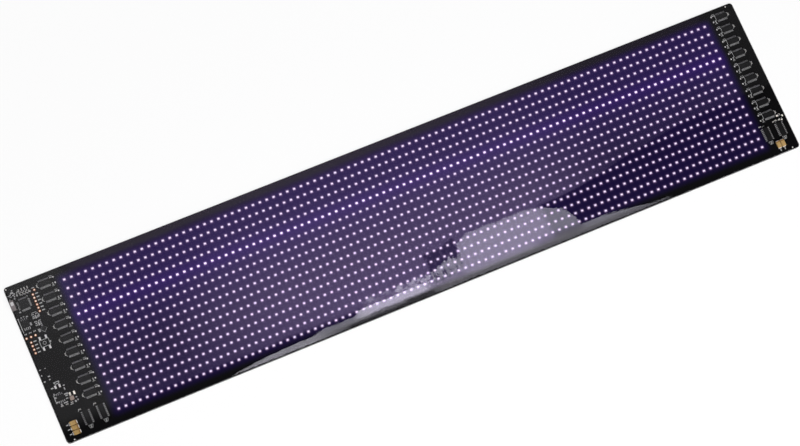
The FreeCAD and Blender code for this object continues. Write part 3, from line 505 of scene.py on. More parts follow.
def round_corners(piece: Piece, radius: float, segments: int) -> Piece:
    """Bevel the upright edges of a block."""
    levels = [vertex.co.z for vertex in piece.data.vertices]
    tall = (max(levels) - min(levels)) / 2
    bevel = partial(bpy.ops.mesh.bevel, offset=radius, segments=segments)
    return edit(piece, Pick.EDGES, lambda a, b: abs(a.z - b.z) > tall, bevel)


def soften(piece: Piece, width: float, segments: int = 1) -> Piece:
    """Bevel a piece's sharp edges."""
    return modify(piece, "BEVEL", width=width, segments=segments, limit_method="ANGLE")


def weld(piece: Piece, reach: float = 0.002 * MM) -> Piece:
    """Merge doubled corners and take out faces without area."""

    def merge() -> None:
        bpy.ops.mesh.remove_doubles(threshold=reach)
        bpy.ops.mesh.dissolve_degenerate(threshold=reach)

    return edit(piece, Pick.FACES, lambda middle, normal: True, merge)


def paint(piece: Piece, *finishes: Finish) -> Piece:
    """Give a piece its finishes in order of its material slots."""
    piece.data.materials.clear()
    for finish in finishes:
        piece.data.materials.append(finish.material())
    return piece


def copy_to(piece: Piece, place: Vector, turn: float = 0.0) -> Piece:
    """Copy a piece with its own mesh, turned about the vertical and then moved."""
    made = piece.copy()
    made.data = piece.data.copy()
    bpy.context.scene.collection.objects.link(made)
    made.data.transform(Matrix.Translation(place) @ Matrix.Rotation(turn, 4, "Z"))
    return made


def gather(name: str, pieces: Iterable[Piece]) -> Piece:
    """Join pieces into one with a name of its own."""
    pieces = list(pieces)
    focus(pieces[0])
    for piece in pieces[1:]:
        piece.select_set(True)
    if len(pieces) > 1:
        bpy.ops.object.join()
    made = settle(bpy.context.view_layer.objects.active)
    made.name = name
    made.data.name = name
    return made


def discard(piece: Piece) -> None:
    """Remove a pattern that was only copied from, or a cutter."""
    bpy.data.objects.remove(piece)


def show(piece: Piece, slot: str, *nodes: str) -> Piece:
    """Let a finished piece ride on the sign in place of some of its solids."""
    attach(piece, ROOT)
    if nodes:
        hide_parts(*nodes)
    log.info("%s: %d faces", piece.name, len(piece.data.polygons))
    return piece


def centre_of(points: list[Vector]) -> Vector:
    """Give the middle of some points."""
    return sum(points, Vector()) / len(points)


def foot_of(node: str) -> Vector:
    """Give the middle of the underside of a node's box."""
    low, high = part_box(node)
    return Vector(((low.x + high.x) / 2, (low.y + high.y) / 2, low.z))


def sides_of(node: str) -> tuple[float, float, float, float]:
    """Give a node's left, right, lower and upper limit in millimetres."""
    low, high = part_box(node)
    return low.x / MM, high.x / MM, low.y / MM, high.y / MM


def column_drivers() -> Iterator[tuple[int, Vector]]:
    """Give each column driver's way towards the field along X, and its foot."""
    for end, inward in (("left", 1), ("right", -1)):
        for k in range(1, DRIVERS + 1):
            yield inward, foot_of(f"column_driver_{end}_{k}")


@dataclass(frozen=True)
class Place:
    """Where one solid of a node stands: its middle on its base, its sides and its turn."""

    centre: Vector
    length: float
    width: float
    height: float
    turn: float


def islands(node: Piece) -> list[list[Vector]]:
    """Give the corner points of each separate solid of a node."""
    digits = 6
    keys = [tuple(round(part, digits) for part in vertex.co) for vertex in node.data.vertices]
    parent = {key: key for key in keys}

    def head(key: tuple) -> tuple:
        while parent[key] != key:
            parent[key] = parent[parent[key]]
            key = parent[key]
        return key

    for face in node.data.polygons:
        corners = [keys[k] for k in face.vertices]
        for corner in corners[1:]:
            parent[head(corner)] = head(corners[0])
    found: dict[tuple, list[Vector]] = {}
    for key in parent:
        found.setdefault(head(key), []).append(Vector(key))
    return [found[key] for key in sorted(found)]


def place_of(points: list[Vector]) -> Place:
    """Work out a brick's place from its eight corners."""
    low = min(point.z for point in points)
    high = max(point.z for point in points)
    base = [point for point in points if point.z < low + TOLERANCE]
    start = base[0]
    spans = sorted((point - start for point in base[1:]), key=lambda span: span.length)
    width, length = spans[0].length, spans[1].length
    turn = math.atan2(spans[1].y, spans[1].x)
    return Place(centre_of(base), length, width, high - low, turn)


# The field and its coat


@dataclass
class LedField:
    """Rows of LED packages with a well and a low lens in each."""

    rows: int = 16
    columns: int = 96
    bright_row: int = 4
    wall: float = 0.22 * MM
    body_share: float = 0.72
    well_depth: float = 0.14 * MM
    lens_sides: int = 10
    lens_foot: float = 0.74 * MM
    lens_top: float = 0.46 * MM
    lens_squeeze: float = 0.75

    def __post_init__(self) -> None:
        """Read the grid from the frame."""
        low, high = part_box("led_row_01")
        last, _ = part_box(f"led_row_{self.rows:02d}")
        self.side = high.y - low.y
        self.height = high.z - low.z
        self.base = low.z
        self.first = Vector((low.x + self.side / 2, low.y + self.side / 2, low.z))
        self.pitch_x = (high.x - low.x - self.side) / (self.columns - 1)
        self.pitch_y = (low.y - last.y) / (self.rows - 1)

    @property
    def grid(self) -> dict[str, tuple[float, float]]:
        """Give first package and pitch in millimetres, for the finishes."""
        return {
            "first": (self.first.x / MM, self.first.y / MM),
            "pitch": (self.pitch_x / MM, self.pitch_y / MM),
        }

    def package(self) -> Piece:
        """Model one package about its own place in the first row."""
        half = self.side / 2
        top = self.base + self.height * self.body_share
        low = Vector((self.first.x - half, self.first.y - half, self.base))
        high = Vector((self.first.x + half, self.first.y + half, top))
        body = block(low, high)

        def well() -> None:
            bpy.ops.mesh.inset(thickness=self.wall)
            extrude(up(-self.well_depth))

        edit(body, Pick.FACES, lambda middle, normal: normal.z > UPWARDS, well)
        floor = top - self.well_depth
        depth = self.base + self.height - floor
        place = (self.first.x, self.first.y, floor + depth / 2)
        radii = {"radius1": self.lens_foot, "radius2": self.lens_top}
        lens = shape("cone", vertices=self.lens_sides, depth=depth, location=place, **radii)
        lens.scale = (1.0, self.lens_squeeze, 1.0)
        return gather("package", [body, settle(lens)])

    def build(self) -> None:
        """Model the rows, the brightest with a finish of its own."""
        white, aged = (0.12, 0.09, 0.14), (0.09, 0.07, 0.11)
        plain = LitPackage("lit_package", white, aged, **self.grid)
        light = {"heart": (0.92, 0.83, 1.0), "rim": (0.24, 0.12, 0.36), "shine": 1.3, "well": 0.50}
        bright = LitPackage("bright_package", white, aged, **light, **self.grid)
        pattern = line_up(self.package(), self.columns, self.pitch_x)
        for row in range(self.rows):
            name = f"led_row_{row + 1:02d}"
            piece = copy_to(pattern, Vector((0.0, -row * self.pitch_y, 0.0)))
            piece = gather(name.replace("row", "packages"), [piece])
            paint(piece, bright if row == self.bright_row else plain)
            show(piece, "led_package", name)
        discard(pattern)


@dataclass
class Coat:
    """Poured clear coat with round corners and a soft rim."""

    corner: float = 2.5 * MM
    corner_segments: int = 8
    rim: float = 0.9 * MM
    rim_segments: int = 5
    notch_gap: float = 0.2 * MM

    def build(self) -> None:
        """Model the coat and cut the inlet's notch."""
        low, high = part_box("clear_coat")
        slab = round_corners(block(low, high), self.corner, self.corner_segments)
        bevel = partial(bpy.ops.mesh.bevel, offset=self.rim, segments=self.rim_segments)
        edit(slab, Pick.EDGES, lambda a, b: min(a.z, b.z) > high.z - TOLERANCE, bevel)
        near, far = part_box("inlet_shell")
        margin = Vector((self.notch_gap, self.notch_gap, 0.0))
        carve(slab, block(near - margin - Vector((MM, 0.0, MM)), far + margin + up(MM)))
        show(paint(gather("coat", [slab]), Finishes.resin), "clear_resin", "clear_coat")


# Chips and small parts


@dataclass(frozen=True)
class Chip:
    """Moulded chip with gull-wing leads, modelled about the origin with leads across."""

    length: float
    width: float
    height: float
    span: float
    pins: int
    pitch: float
    lead_width: float
    foot: float = 0.6 * MM
    four_sided: bool = False
    standoff: float = 0.1 * MM
    metal: float = 0.15 * MM
    shoulder: float = 0.22 * MM
    bite: float = 0.25 * MM
    draft: float = math.radians(7.0)
    edge: float = 0.06 * MM
    dimple: float = 0.45 * MM
    dimple_inset: float = 0.95 * MM
    land_share: float = 1.2
    land_thickness: float = 0.03 * MM
    land_reach: float = 0.3 * MM

    def body(self) -> Piece:
        """Model the moulded body with its parting line and its dimple."""
        middle = (self.height + self.standoff) / 2
        half = Vector((self.length / 2, self.width / 2, 0.0))
        body = block(up(self.standoff) - half, up(middle) + half)
        rise = self.height - middle
        slope = 2 * rise * math.tan(self.draft)

        def draw_in() -> None:
            extrude(up(rise))
            shrink = (1 - slope / self.length, 1 - slope / self.width, 1.0)
            bpy.ops.transform.resize(value=shrink)

        edit(body, Pick.FACES, lambda point, normal: normal.z > UPWARDS, draw_in)
        soften(body, self.edge)
        ball = self.dimple * 2
        deep = ball - math.sqrt(ball**2 - self.dimple**2)
        corner = Vector((-self.length / 2, -self.width / 2, self.height + ball - deep))
        place = corner + Vector((self.dimple_inset, self.dimple_inset, 0.0))
        cutter = shape("uv_sphere", segments=16, ring_count=12, radius=ball, location=place)
        return weld(carve(body, cutter))

    def leads(self, across: float) -> Piece:
        """Model the two lead rows of opposite sides with the lands under them."""
        start = -(self.pins - 1) * self.pitch / 2
        middle = self.span / 2 - self.foot / 2
        lead = shape("plane", size=1.0, location=(start, middle, self.metal))
        lead.scale = (self.lead_width, self.foot, 1.0)
        settle(lead)
        inner = self.span / 2 - self.foot
        shoulder = across / 2 + self.shoulder
        rise = (self.height + self.standoff) / 2 - self.metal

        def bend() -> None:
            extrude(Vector((0.0, shoulder - inner, rise)))
            extrude(Vector((0.0, -self.shoulder - self.bite, 0.0)))

        edit(lead, Pick.EDGES, lambda a, b: max(a.y, b.y) < inner + TOLERANCE, bend)
        modify(lead, "SOLIDIFY", thickness=self.metal, offset=-1.0, use_even_offset=True)
        half, far = self.lead_width * self.land_share / 2, self.span / 2 + self.land_reach
        low = Vector((start - half, inner - self.land_reach / 2, 0.0))
        land = block(low, Vector((start + half, far, self.land_thickness)))
        row = line_up(gather("lead", [lead, land]), self.pins, self.pitch)
        twin = copy_to(row, Vector(), math.pi)
        return gather("leads", [row, twin])

    def pattern(self) -> Piece:
        """Model the whole chip."""
        body = paint(self.body(), Finishes.epoxy)
        rows = [self.leads(self.width)]
        if self.four_sided:
            rows.append(copy_to(rows[0], Vector(), math.pi / 2))
        for row in rows:
            paint(row, Finishes.lead)
        return gather("chip_pattern", [body, *rows])


@dataclass(frozen=True)
class ChipSet:
    """All chips of the sign, each in the place of its solid."""

    scans: int = 2
    column_driver: Chip = Chip(8.65 * MM, 3.9 * MM, 1.45 * MM, 6.0 * MM, 12, 0.635 * MM, 0.25 * MM)
    row_driver: Chip = Chip(9.9 * MM, 3.9 * MM, 1.5 * MM, 6.0 * MM, 8, 1.27 * MM, 0.42 * MM)
    controller: Chip = Chip(
        7.0 * MM, 7.0 * MM, 1.5 * MM, 9.0 * MM, 12, 0.5 * MM, 0.22 * MM, 0.5 * MM, four_sided=True
    )
    memory: Chip = Chip(5.3 * MM, 5.3 * MM, 1.6 * MM, 8.0 * MM, 4, 1.27 * MM, 0.42 * MM)
    regulator: Chip = Chip(4.9 * MM, 3.9 * MM, 1.5 * MM, 6.0 * MM, 4, 1.27 * MM, 0.42 * MM)

    @staticmethod
    def at_both_ends(piece: str, node: str, count: int) -> list[tuple[str, str]]:
        """Pair numbered pieces with their nodes, first at the left end."""
        names = [f"{end}_{k}" for end in ("left", "right") for k in range(1, count + 1)]
        return [(f"{piece}_{name}", f"{node}_{name}") for name in names]

    def build(self) -> None:
        """Model each kind once and copy it to its places."""
        columns = self.at_both_ends("column_chip", "column_driver", DRIVERS)
        rows = self.at_both_ends("row_chip", "row_driver", self.scans)
        kinds = (
            (self.column_driver, 0.0, columns),
            (self.row_driver, math.pi / 2, rows),
            (self.controller, 0.0, [("controller_chip", "microcontroller")]),
            (self.memory, 0.0, [("memory_package", "memory_chip")]),
            (self.regulator, 0.0, [("regulator_package", "power_regulator")]),
        )
        for chip, turn, pairs in kinds:
            pattern = chip.pattern()
            for name, node in pairs:
                piece = gather(name, [copy_to(pattern, foot_of(node), turn)])
                show(piece, "chip_moulding", node)
            discard(pattern)


@dataclass
class SmallParts:
    """Chip capacitors, resistors, diodes and moulded capacitors in their groups."""

    nodes: dict[str, Piece]
    terminal: float = 0.32
    terminal_edge: float = 0.06 * MM
    inset: float = 0.02 * MM
    fold: float = 0.55 * MM
    fold_edge: float = 0.1 * MM
    step: float = 0.12 * MM
    crown: float = 0.22 * MM
    body_share: float = 0.93
    band_share: float = 0.9
    band_start: float = 0.95 * MM
    band_end: float = 0.3 * MM
    band_rise: float = 0.004 * MM
    fold_share: float = 0.78
    fold_height: float = 0.45

    @staticmethod
    def end(near: float, far: float, half: float, height: float, edge: float) -> Piece:
        """Model a metal end between two places along X."""
        low = Vector((min(near, far), -half, 0.0))
        high = Vector((max(near, far), half, height))
        return paint(soften(block(low, high), edge), Finishes.solder)

    def brick(self, place: Place, core: Finish) -> Piece:
        """Model a part with a metal cap at each end, about the origin along X."""
        reach, half, cap = place.length / 2, place.width / 2, place.width * self.terminal
        core_half = Vector((reach - cap / 2, half - self.inset, 0.0))
        top = up(place.height - self.inset)
        parts = [paint(block(-core_half, core_half + top), core)]
        for side in (-1, 1):
            near, far = side * (reach - cap), side * reach
            parts.append(self.end(near, far, half, place.height, self.terminal_edge))
        return gather("part_pattern", parts)

    def tantalum(self, place: Place) -> Piece:
        """Model a moulded capacitor with folded terminals and a dark band."""
        half = Vector((place.length / 2 - self.fold, place.width / 2 * self.body_share, 0.0))
        body = soften(block(up(self.step) - half, half + up(place.height)), self.crown, 2)
        side_on = half.y * self.band_share
        low = Vector((half.x - self.band_start, -side_on, place.height - self.step))
        high = Vector((half.x - self.band_end, side_on, place.height + self.band_rise))
        parts = [paint(body, Finishes.amber), paint(block(low, high), Finishes.band)]
        flank, rise = half.y * self.fold_share, place.height * self.fold_height
        for side in (-1, 1):
            near, far = side * (half.x - self.step), side * place.length / 2
            parts.append(self.end(near, far, flank, rise, self.fold_edge))
        return gather("part_pattern", parts)

    def group(self, node: str, name: str, slot: str, model: Callable) -> None:
        """Replace one node of small parts by copies of a modelled one.

        Args:
            node: The node to replace.
            name: The new piece's name.
            slot: The new piece's slot name; show takes it but does not use it.
            model: Makes the part that is copied, from the first solid's place.
        """
        places = [place_of(points) for points in islands(self.nodes[node])]
        pattern = model(places[0])
        parts = [copy_to(pattern, place.centre, place.turn) for place in places]
        discard(pattern)
        show(gather(name, parts), slot, node)

    def build(self) -> None:
        """Model every group."""
        kinds = (
            ("driver_capacitors", "capacitors_at_drivers", "small_ceramic", Finishes.ceramic),
            ("driver_resistors", "resistors_at_drivers", "small_ceramic", Finishes.film),
            ("row_driver_parts", "parts_at_row_drivers", "small_ceramic", Finishes.ceramic),
            ("bank_capacitors", "capacitors_in_banks", "small_ceramic", Finishes.ceramic),
            ("bank_resistors", "resistors_in_banks", "small_ceramic", Finishes.film),
            ("protection_diodes", "diodes", "chip_moulding", Finishes.epoxy),
        )
        for node, name, slot, core in kinds:
            self.group(node, name, slot, partial(self.brick, core=core))
        self.group("tantalum_capacitors", "moulded_capacitors", "amber_moulding", self.tantalum)


@dataclass
class Pads:
    """Gilt and tinned pads, alignment marks and small bare lands.

    The loose lands are given in millimetres: their middle, length and width.
    """

    nodes: dict[str, Piece]
    sides: int = 24
    cushion: float = 0.62
    dome: float = 0.03 * MM
    land: Vector = field(default_factory=lambda: Vector((0.8 * MM, 1.1 * MM, 0.05 * MM)))
    land_reach: float = 7.3 * MM
    land_offset: float = 2.1 * MM
    painted_highlight_below: float = -25.0 * MM
    edge: float = 0.02 * MM
    rim_share: float = 0.4
    loose: tuple[tuple[float, float, float, float], ...] = (
        (-284.6, 50.0, 1.0, 0.9), (-281.2, 49.7, 1.1, 1.0), (-284.2, 52.8, 1.8, 0.7),
        (-283.2, 51.7, 1.5, 0.6), (-281.6, 54.3, 1.9, 1.1), (-280.9, 55.8, 0.9, 0.9),
        (-281.0, 52.4, 1.5, 0.7), (-280.6, 51.1, 0.9, 0.8), (-278.7, 51.4, 1.0, 1.5),
        (-276.8, 52.6, 0.7, 0.7), (-275.3, 52.5, 0.7, 0.9), (-273.4, 52.5, 0.7, 0.9),
        (-271.3, 52.5, 0.7, 0.9), (-275.4, 50.4, 0.6, 1.0), (-273.3, 50.4, 0.6, 1.0),
        (-271.1, 50.4, 0.6, 1.0), (-269.2, 50.9, 0.7, 1.2), (-266.7, 52.3, 1.9, 0.6),
        (-281.2, 39.2, 1.3, 1.0), (-284.4, 35.0, 1.1, 0.9), (-282.1, 35.3, 0.9, 1.0),
        (-280.2, 35.5, 1.1, 0.8), (-278.0, 34.8, 1.3, 0.9), (-277.4, 28.9, 1.2, 2.2),
        (-272.6, 35.7, 3.6, 0.4), (-274.0, 32.9, 1.3, 0.8), (-272.4, 32.4, 0.8, 2.6),
        (-269.9, 32.9, 0.8, 1.8), (-270.9, 32.7, 0.9, 0.7), (-273.8, 27.8, 1.2, 0.7),
        (-272.3, 27.2, 0.8, 2.9), (-270.9, 27.7, 1.1, 0.8), (-270.7, 25.2, 1.2, 0.7),
        (-273.7, 22.2, 1.3, 2.1), (-284.0, -3.9, 1.3, 0.8), (-280.3, -4.0, 0.8, 0.6),
        (-284.5, -8.0, 0.8, 1.0), (-279.9, -10.2, 1.6, 0.8), (-284.1, -12.8, 1.3, 0.9),
        (-280.2, -12.5, 1.0, 0.8), (-272.9, -19.8, 1.3, 0.8), (-273.3, -22.2, 0.7, 1.8),
        (-281.5, -23.5, 0.8, 1.3), (-281.3, -26.1, 1.7, 1.3), (-273.7, -25.9, 2.9, 0.9),
        (-281.6, -29.5, 1.9, 0.9), (-276.3, -27.3, 0.5, 2.1), (-274.2, -29.2, 1.7, 0.7),
        (-279.3, -32.2, 1.0, 1.8), (-276.0, -31.6, 3.1, 0.8), (-272.6, -34.2, 2.2, 0.5),
        (-269.4, -33.3, 1.1, 1.4), (-267.6, -32.8, 0.9, 1.1), (-268.0, -30.7, 1.2, 0.7),
        (279.9, -32.0, 1.1, 1.2), (281.9, -31.3, 0.9, 0.8), (283.8, -33.1, 0.9, 1.4),
        (277.4, -34.7, 1.5, 0.5), (280.1, -35.2, 1.2, 1.1), (282.1, -35.7, 1.3, 1.1),
    )

    def disc(self, centre: Vector, radius: float, low: float, high: float) -> Piece:
        """Add one flat round pad with a bevelled rim."""
        place = (centre.x, centre.y, (low + high) / 2)
        size = {"radius": radius, "depth": high - low}
        pad = shape("cylinder", vertices=self.sides, location=place, **size)
        return soften(settle(pad), (high - low) * self.rim_share)

    def discs(self, node: str, name: str, finish: Finish, slot: str) -> None:
        """Replace a node of round pads, each with a cushion of solder on it in the
        painted-highlight solder finish.
        """
        parts = []
        for points in islands(self.nodes[node]):
            low = min(point.z for point in points)
            high = max(point.z for point in points)
            centre = centre_of(points)
            radius = max((point - centre).xy.length for point in points)
            parts.append(paint(self.disc(centre, radius, low, high), finish))
            # the cushion's lighter solder paints a highlight on the pad's middle
            cushion = self.disc(centre, radius * self.cushion, high, high + self.dome)
            parts.append(paint(cushion, Finishes.bright))
        show(gather(name, parts), slot, node)

    def tinned(self) -> None:
        """Replace the large tinned pads, the lowest ones by pads with a painted highlight."""
        parts = []
        for points in islands(self.nodes["tinned_pads"]):
            low = Vector([min(point[k] for point in points) for k in range(3)])
            high = Vector([max(point[k] for point in points) for k in range(3)])
            # the lowest pads are the same tinned metal with a painted highlight
            finish = Finishes.bright if high.y < self.painted_highlight_below else Finishes.solder
            parts.append(paint(soften(block(low, high), self.edge), finish))
        show(gather("tinned_lands", parts), "tinned_metal", "tinned_pads")

    def driver_lands(self) -> None:
        """Add two small lands between each column driver and the field, and the loose ones."""
        parts = []
        half = Vector((self.land.x / 2, self.land.y / 2, 0.0))
        for inward, foot in column_drivers():
            for side in (-1, 1):
                shift = Vector((inward * self.land_reach, side * self.land_offset, 0.0))
                corner = foot + shift - half
                parts.append(paint(block(corner, corner + self.land), Finishes.solder))
        for x, y, length, width in self.loose:
            corner = Vector((x - length / 2, y - width / 2, 0.0)) * MM
            corner.z = foot.z
            size = Vector((length * MM, width * MM, self.land.z))
            # the same bare lands in two shades: those at the right end with a painted highlight,
            # those at the left end in the darker lead finish
            finish = Finishes.lead if x < 0 else Finishes.bright
            parts.append(paint(block(corner, corner + size), finish))
        show(gather("bare_lands", parts), "tinned_metal")

    def build(self) -> None:
        """Model every pad."""
        self.discs("contact_pads", "gilt_contacts", Finishes.gilt, "gilt_metal")
        self.discs("alignment_marks", "round_marks", Finishes.solder, "tinned_metal")
        self.tinned()
        self.driver_lands()


@dataclass
class Print:
    """Printed lines on the circuit: plain bars, arrows and frames, placed in millimetres."""

    base: float
    thickness: float = 0.02 * MM
    line: float = 0.28 * MM
    strokes: list[Piece] = field(default_factory=list)

    def stroke(self, start: tuple, end: tuple, width: float | None = None) -> None:
        """Print one straight line between two points in millimetres."""
        a, b = Vector(start).to_2d() * MM, Vector(end).to_2d() * MM
        width = width or self.line
        middle, run = (a + b) / 2, b - a
        half = Vector((run.length / 2, width / 2, 0.0))
        centre = Vector((middle.x, middle.y, self.base))
        top = up(self.thickness)
        turn = math.atan2(run.y, run.x)
        self.strokes.append(block(centre - half, centre + half + top, turn))

    def path(self, *points: tuple, width: float | None = None) -> None:
        """Print a line through several points."""
        for a, b in zip(points, points[1:]):
            self.stroke(a, b, width)

    def frame(self, low: tuple, high: tuple, width: float | None = None) -> None:
        """Print a rectangle."""
        self.path(low, (high[0], low[1]), high, (low[0], high[1]), low, width=width)

    def trapezoid(self, x: float, ends: tuple, halves: tuple, width: float) -> None:
        """Print a closed trapezoid between two heights, each with its half width."""
        (top, foot), (wide, slim) = ends, halves
        corners = [(x - wide, top), (x + wide, top), (x + slim, foot), (x - slim, foot)]
        self.path(*corners, corners[0], width=width)

    def ring(self, centre: tuple, radius: float) -> None:
        """Print a circle as a ring."""
        place = (centre[0] * MM, centre[1] * MM, self.base)
        ring = settle(shape("circle", vertices=24, radius=radius * MM, location=place))

        def band() -> None:
            bpy.ops.mesh.extrude_region_move()
            inner = 1 - self.line / (radius * MM)
            bpy.ops.transform.resize(value=(inner, inner, 1.0), center_override=place)

        edit(ring, Pick.EDGES, lambda a, b: True, band)
        self.strokes.append(modify(ring, "SOLIDIFY", thickness=self.thickness, offset=1.0))

    def at_drivers(self) -> None:
        """Print an arrow outside each column driver and hooks at its inner parts."""
        for inward, foot in column_drivers():
            x, y = foot.x / MM, foot.y / MM
            out, tip = x - inward * 4.5, x - inward * 5.6
            self.path((out, y + 1.9), (tip, y + 0.4), width=0.3 * MM)
            self.path((tip, y - 0.4), (out, y - 1.9), width=0.3 * MM)
            self.stroke((tip - inward * 0.4, y), (tip + inward * 0.5, y), 1.1 * MM)
            near, far = x + inward * 4.5, x + inward * 6.6
            self.path((near, y + 3.6), (far, y + 3.6), (far, y + 2.9))
            self.path((near, y - 3.8), (far, y - 3.8))
            if inward < 0:
                self.path((near, y + 3.2), (near, y - 1.4), (near - 1.6, y - 1.4))

    def at_rows(self) -> None:
        """Print hooks and trapezoids at the ends of the row drivers."""
        for end, shift in (("left", 4.4), ("right", 1.6)):
            for k in (1, 2):
                left, right, foot, top = sides_of(f"row_driver_{end}_{k}")
                x = (left + right) / 2
                start = x - shift
                self.path((start, top + 0.7), (start + 0.4, top + 1.8), (start + 2.2, top + 1.6))
                self.trapezoid(x, (foot - 0.9, foot - 3.1), (1.6, 0.9), 0.24 * MM)

    def at_contacts(self, nodes: dict[str, Piece]) -> None:
        """Print a bar beside each contact pad of the two upright rows."""
        centres = [centre_of(points) for points in islands(nodes["contact_pads"])]
        for centre in centres:
            level = [other for other in centres if abs(other.x - centre.x) < 0.1 * MM]
            if len(level) > 1:
                x, y = centre.x / MM + 1.7, centre.y / MM
                self.stroke((x, y), (x + 2.1, y), 0.75 * MM)

    def at_control(self) -> None:
        """Print what stands round the controller, the memory, the crystal and the regulator."""
        _, right, _, top = sides_of("microcontroller")
        self.stroke((right - 0.9, top + 0.2), (right - 0.2, top + 0.2), 0.7 * MM)
        left, _, foot, top = sides_of("memory_chip")
        self.path((left - 1.0, top + 1.4), (left - 1.0, foot - 1.6), width=0.5 * MM)
        left, right, foot, top = sides_of("crystal")
        x, y, reach = (left + right) / 2, (foot + top) / 2, (right - left) / 2 + 0.15
        corners = [(x, y + reach), (x + reach, y), (x, y - reach), (x - reach, y)]
        self.path(*corners, corners[0], width=0.18 * MM)
        left, _, foot, top = sides_of("power_regulator")
        self.stroke((left - 1.6, top), (left - 1.6, foot), 0.35 * MM)
        self.stroke((left - 1.6, top), (left + 3.6, top + 1.0), 0.35 * MM)

    def at_switch(self, nodes: dict[str, Piece]) -> None:
        """Print the frame and ring of the switch land, and marks at the wire pads."""
        lands = [centre_of(points) / MM for points in islands(nodes["tinned_pads"])]
        lands.sort(key=lambda land: -land.y)
        centre, supply, output = map(centre_of, (lands[:4], lands[4:6], lands[6:]))
        self.frame((centre.x - 3.3, centre.y - 2.5), (centre.x + 3.3, centre.y + 2.5), 0.36 * MM)
        self.ring((centre.x - 0.2, centre.y), 1.25)
        self.stroke((centre.x + 3.6, centre.y - 0.3), (centre.x + 4.4, centre.y - 0.3), 0.9 * MM)
        for pair in (supply, output):
            self.stroke((pair.x - 4.9, pair.y), (pair.x - 3.1, pair.y), 0.8 * MM)
        ends = (supply.y + 3.3, supply.y + 1.9)
        self.trapezoid(supply.x + 0.3, ends, (2.0, 1.2), 0.5 * MM)

    def at_tantalums(self, nodes: dict[str, Piece]) -> None:
        """Print a bar at the outer end of each moulded capacitor."""
        for points in islands(nodes["tantalum_capacitors"]):
            place = place_of(points)
            x, y = place.centre.x / MM, place.centre.y / MM
            if x < 0:
                self.stroke((x - 5.2, y), (x - 3.4, y), 0.62 * MM)
            else:
                self.stroke((x, y - 3.4), (x, y - 5.0), 0.7 * MM)

    def build(self, nodes: dict[str, Piece]) -> None:
        """Print everything as one piece."""
        self.at_drivers()
        self.at_rows()
        self.at_contacts(nodes)
        self.at_control()
        self.at_switch(nodes)
        self.at_tantalums(nodes)
        show(paint(gather("print_marks", self.strokes), Finishes.ink), "circuit_black")


@dataclass
class InletCover:
    """Thin sheets on the inlet's shell: a painted highlight in the solder finish near its upper
    left corner, and a black lid over its right end.
    """

    sink: float = 0.02 * MM
    rise: float = 0.03 * MM
    highlight_along: tuple[float, float] = (0.5 * MM, 2.7 * MM)
    highlight_across: tuple[float, float] = (3.8 * MM, 1.2 * MM)
    black_lid_length: float = 1.3 * MM

    def lid(self, name: str, low: Vector, high: Vector, finish: Finish, slot: str) -> None:
        """Lay one thin lid on the shell between two corners of its upper face."""
        lid = soften(block(low - up(self.sink), high + up(self.rise)), self.sink)
        show(paint(gather(name, [lid]), finish), slot)

    def build(self) -> None:
        """Model both lids."""
        low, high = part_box("inlet_shell")
        # painted highlight: a thin sheet in the solder finish near the shell's upper left corner
        start = Vector((low.x + self.highlight_along[0], high.y - self.highlight_across[0], high.z))
        end = Vector((low.x + self.highlight_along[1], high.y - self.highlight_across[1], high.z))
        self.lid("inlet_painted_highlight", start, end, Finishes.solder, "inlet_steel")
        # a black lid over the shell's right end
        start = Vector((high.x - self.black_lid_length, low.y, high.z))
        self.lid("inlet_black_lid", start, high, Finishes.plastic, "tongue_plastic")


@dataclass
class WoundInductor:
    """Shielded inductor with a round core in a ring gap."""

    corner: float = 0.7 * MM
    edge: float = 0.12 * MM
    ring: float = 1.35 * MM
    gap: float = 0.3 * MM

    def build(self) -> None:
        """Model the block and cut its ring gap."""
        low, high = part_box("power_inductor")
        body = soften(round_corners(block(low, high), self.corner, 3), self.edge, 2)
        top = (low + high) / 2
        top.z = high.z
        radii = {"major_radius": self.ring, "minor_radius": self.gap / 2}
        carve(body, shape("torus", location=top, major_segments=40, minor_segments=8, **radii))
        paint(body, Finishes.ferrite)
        show(gather("wound_inductor", [body]), "inductor_ferrite", "power_inductor")


# The stage


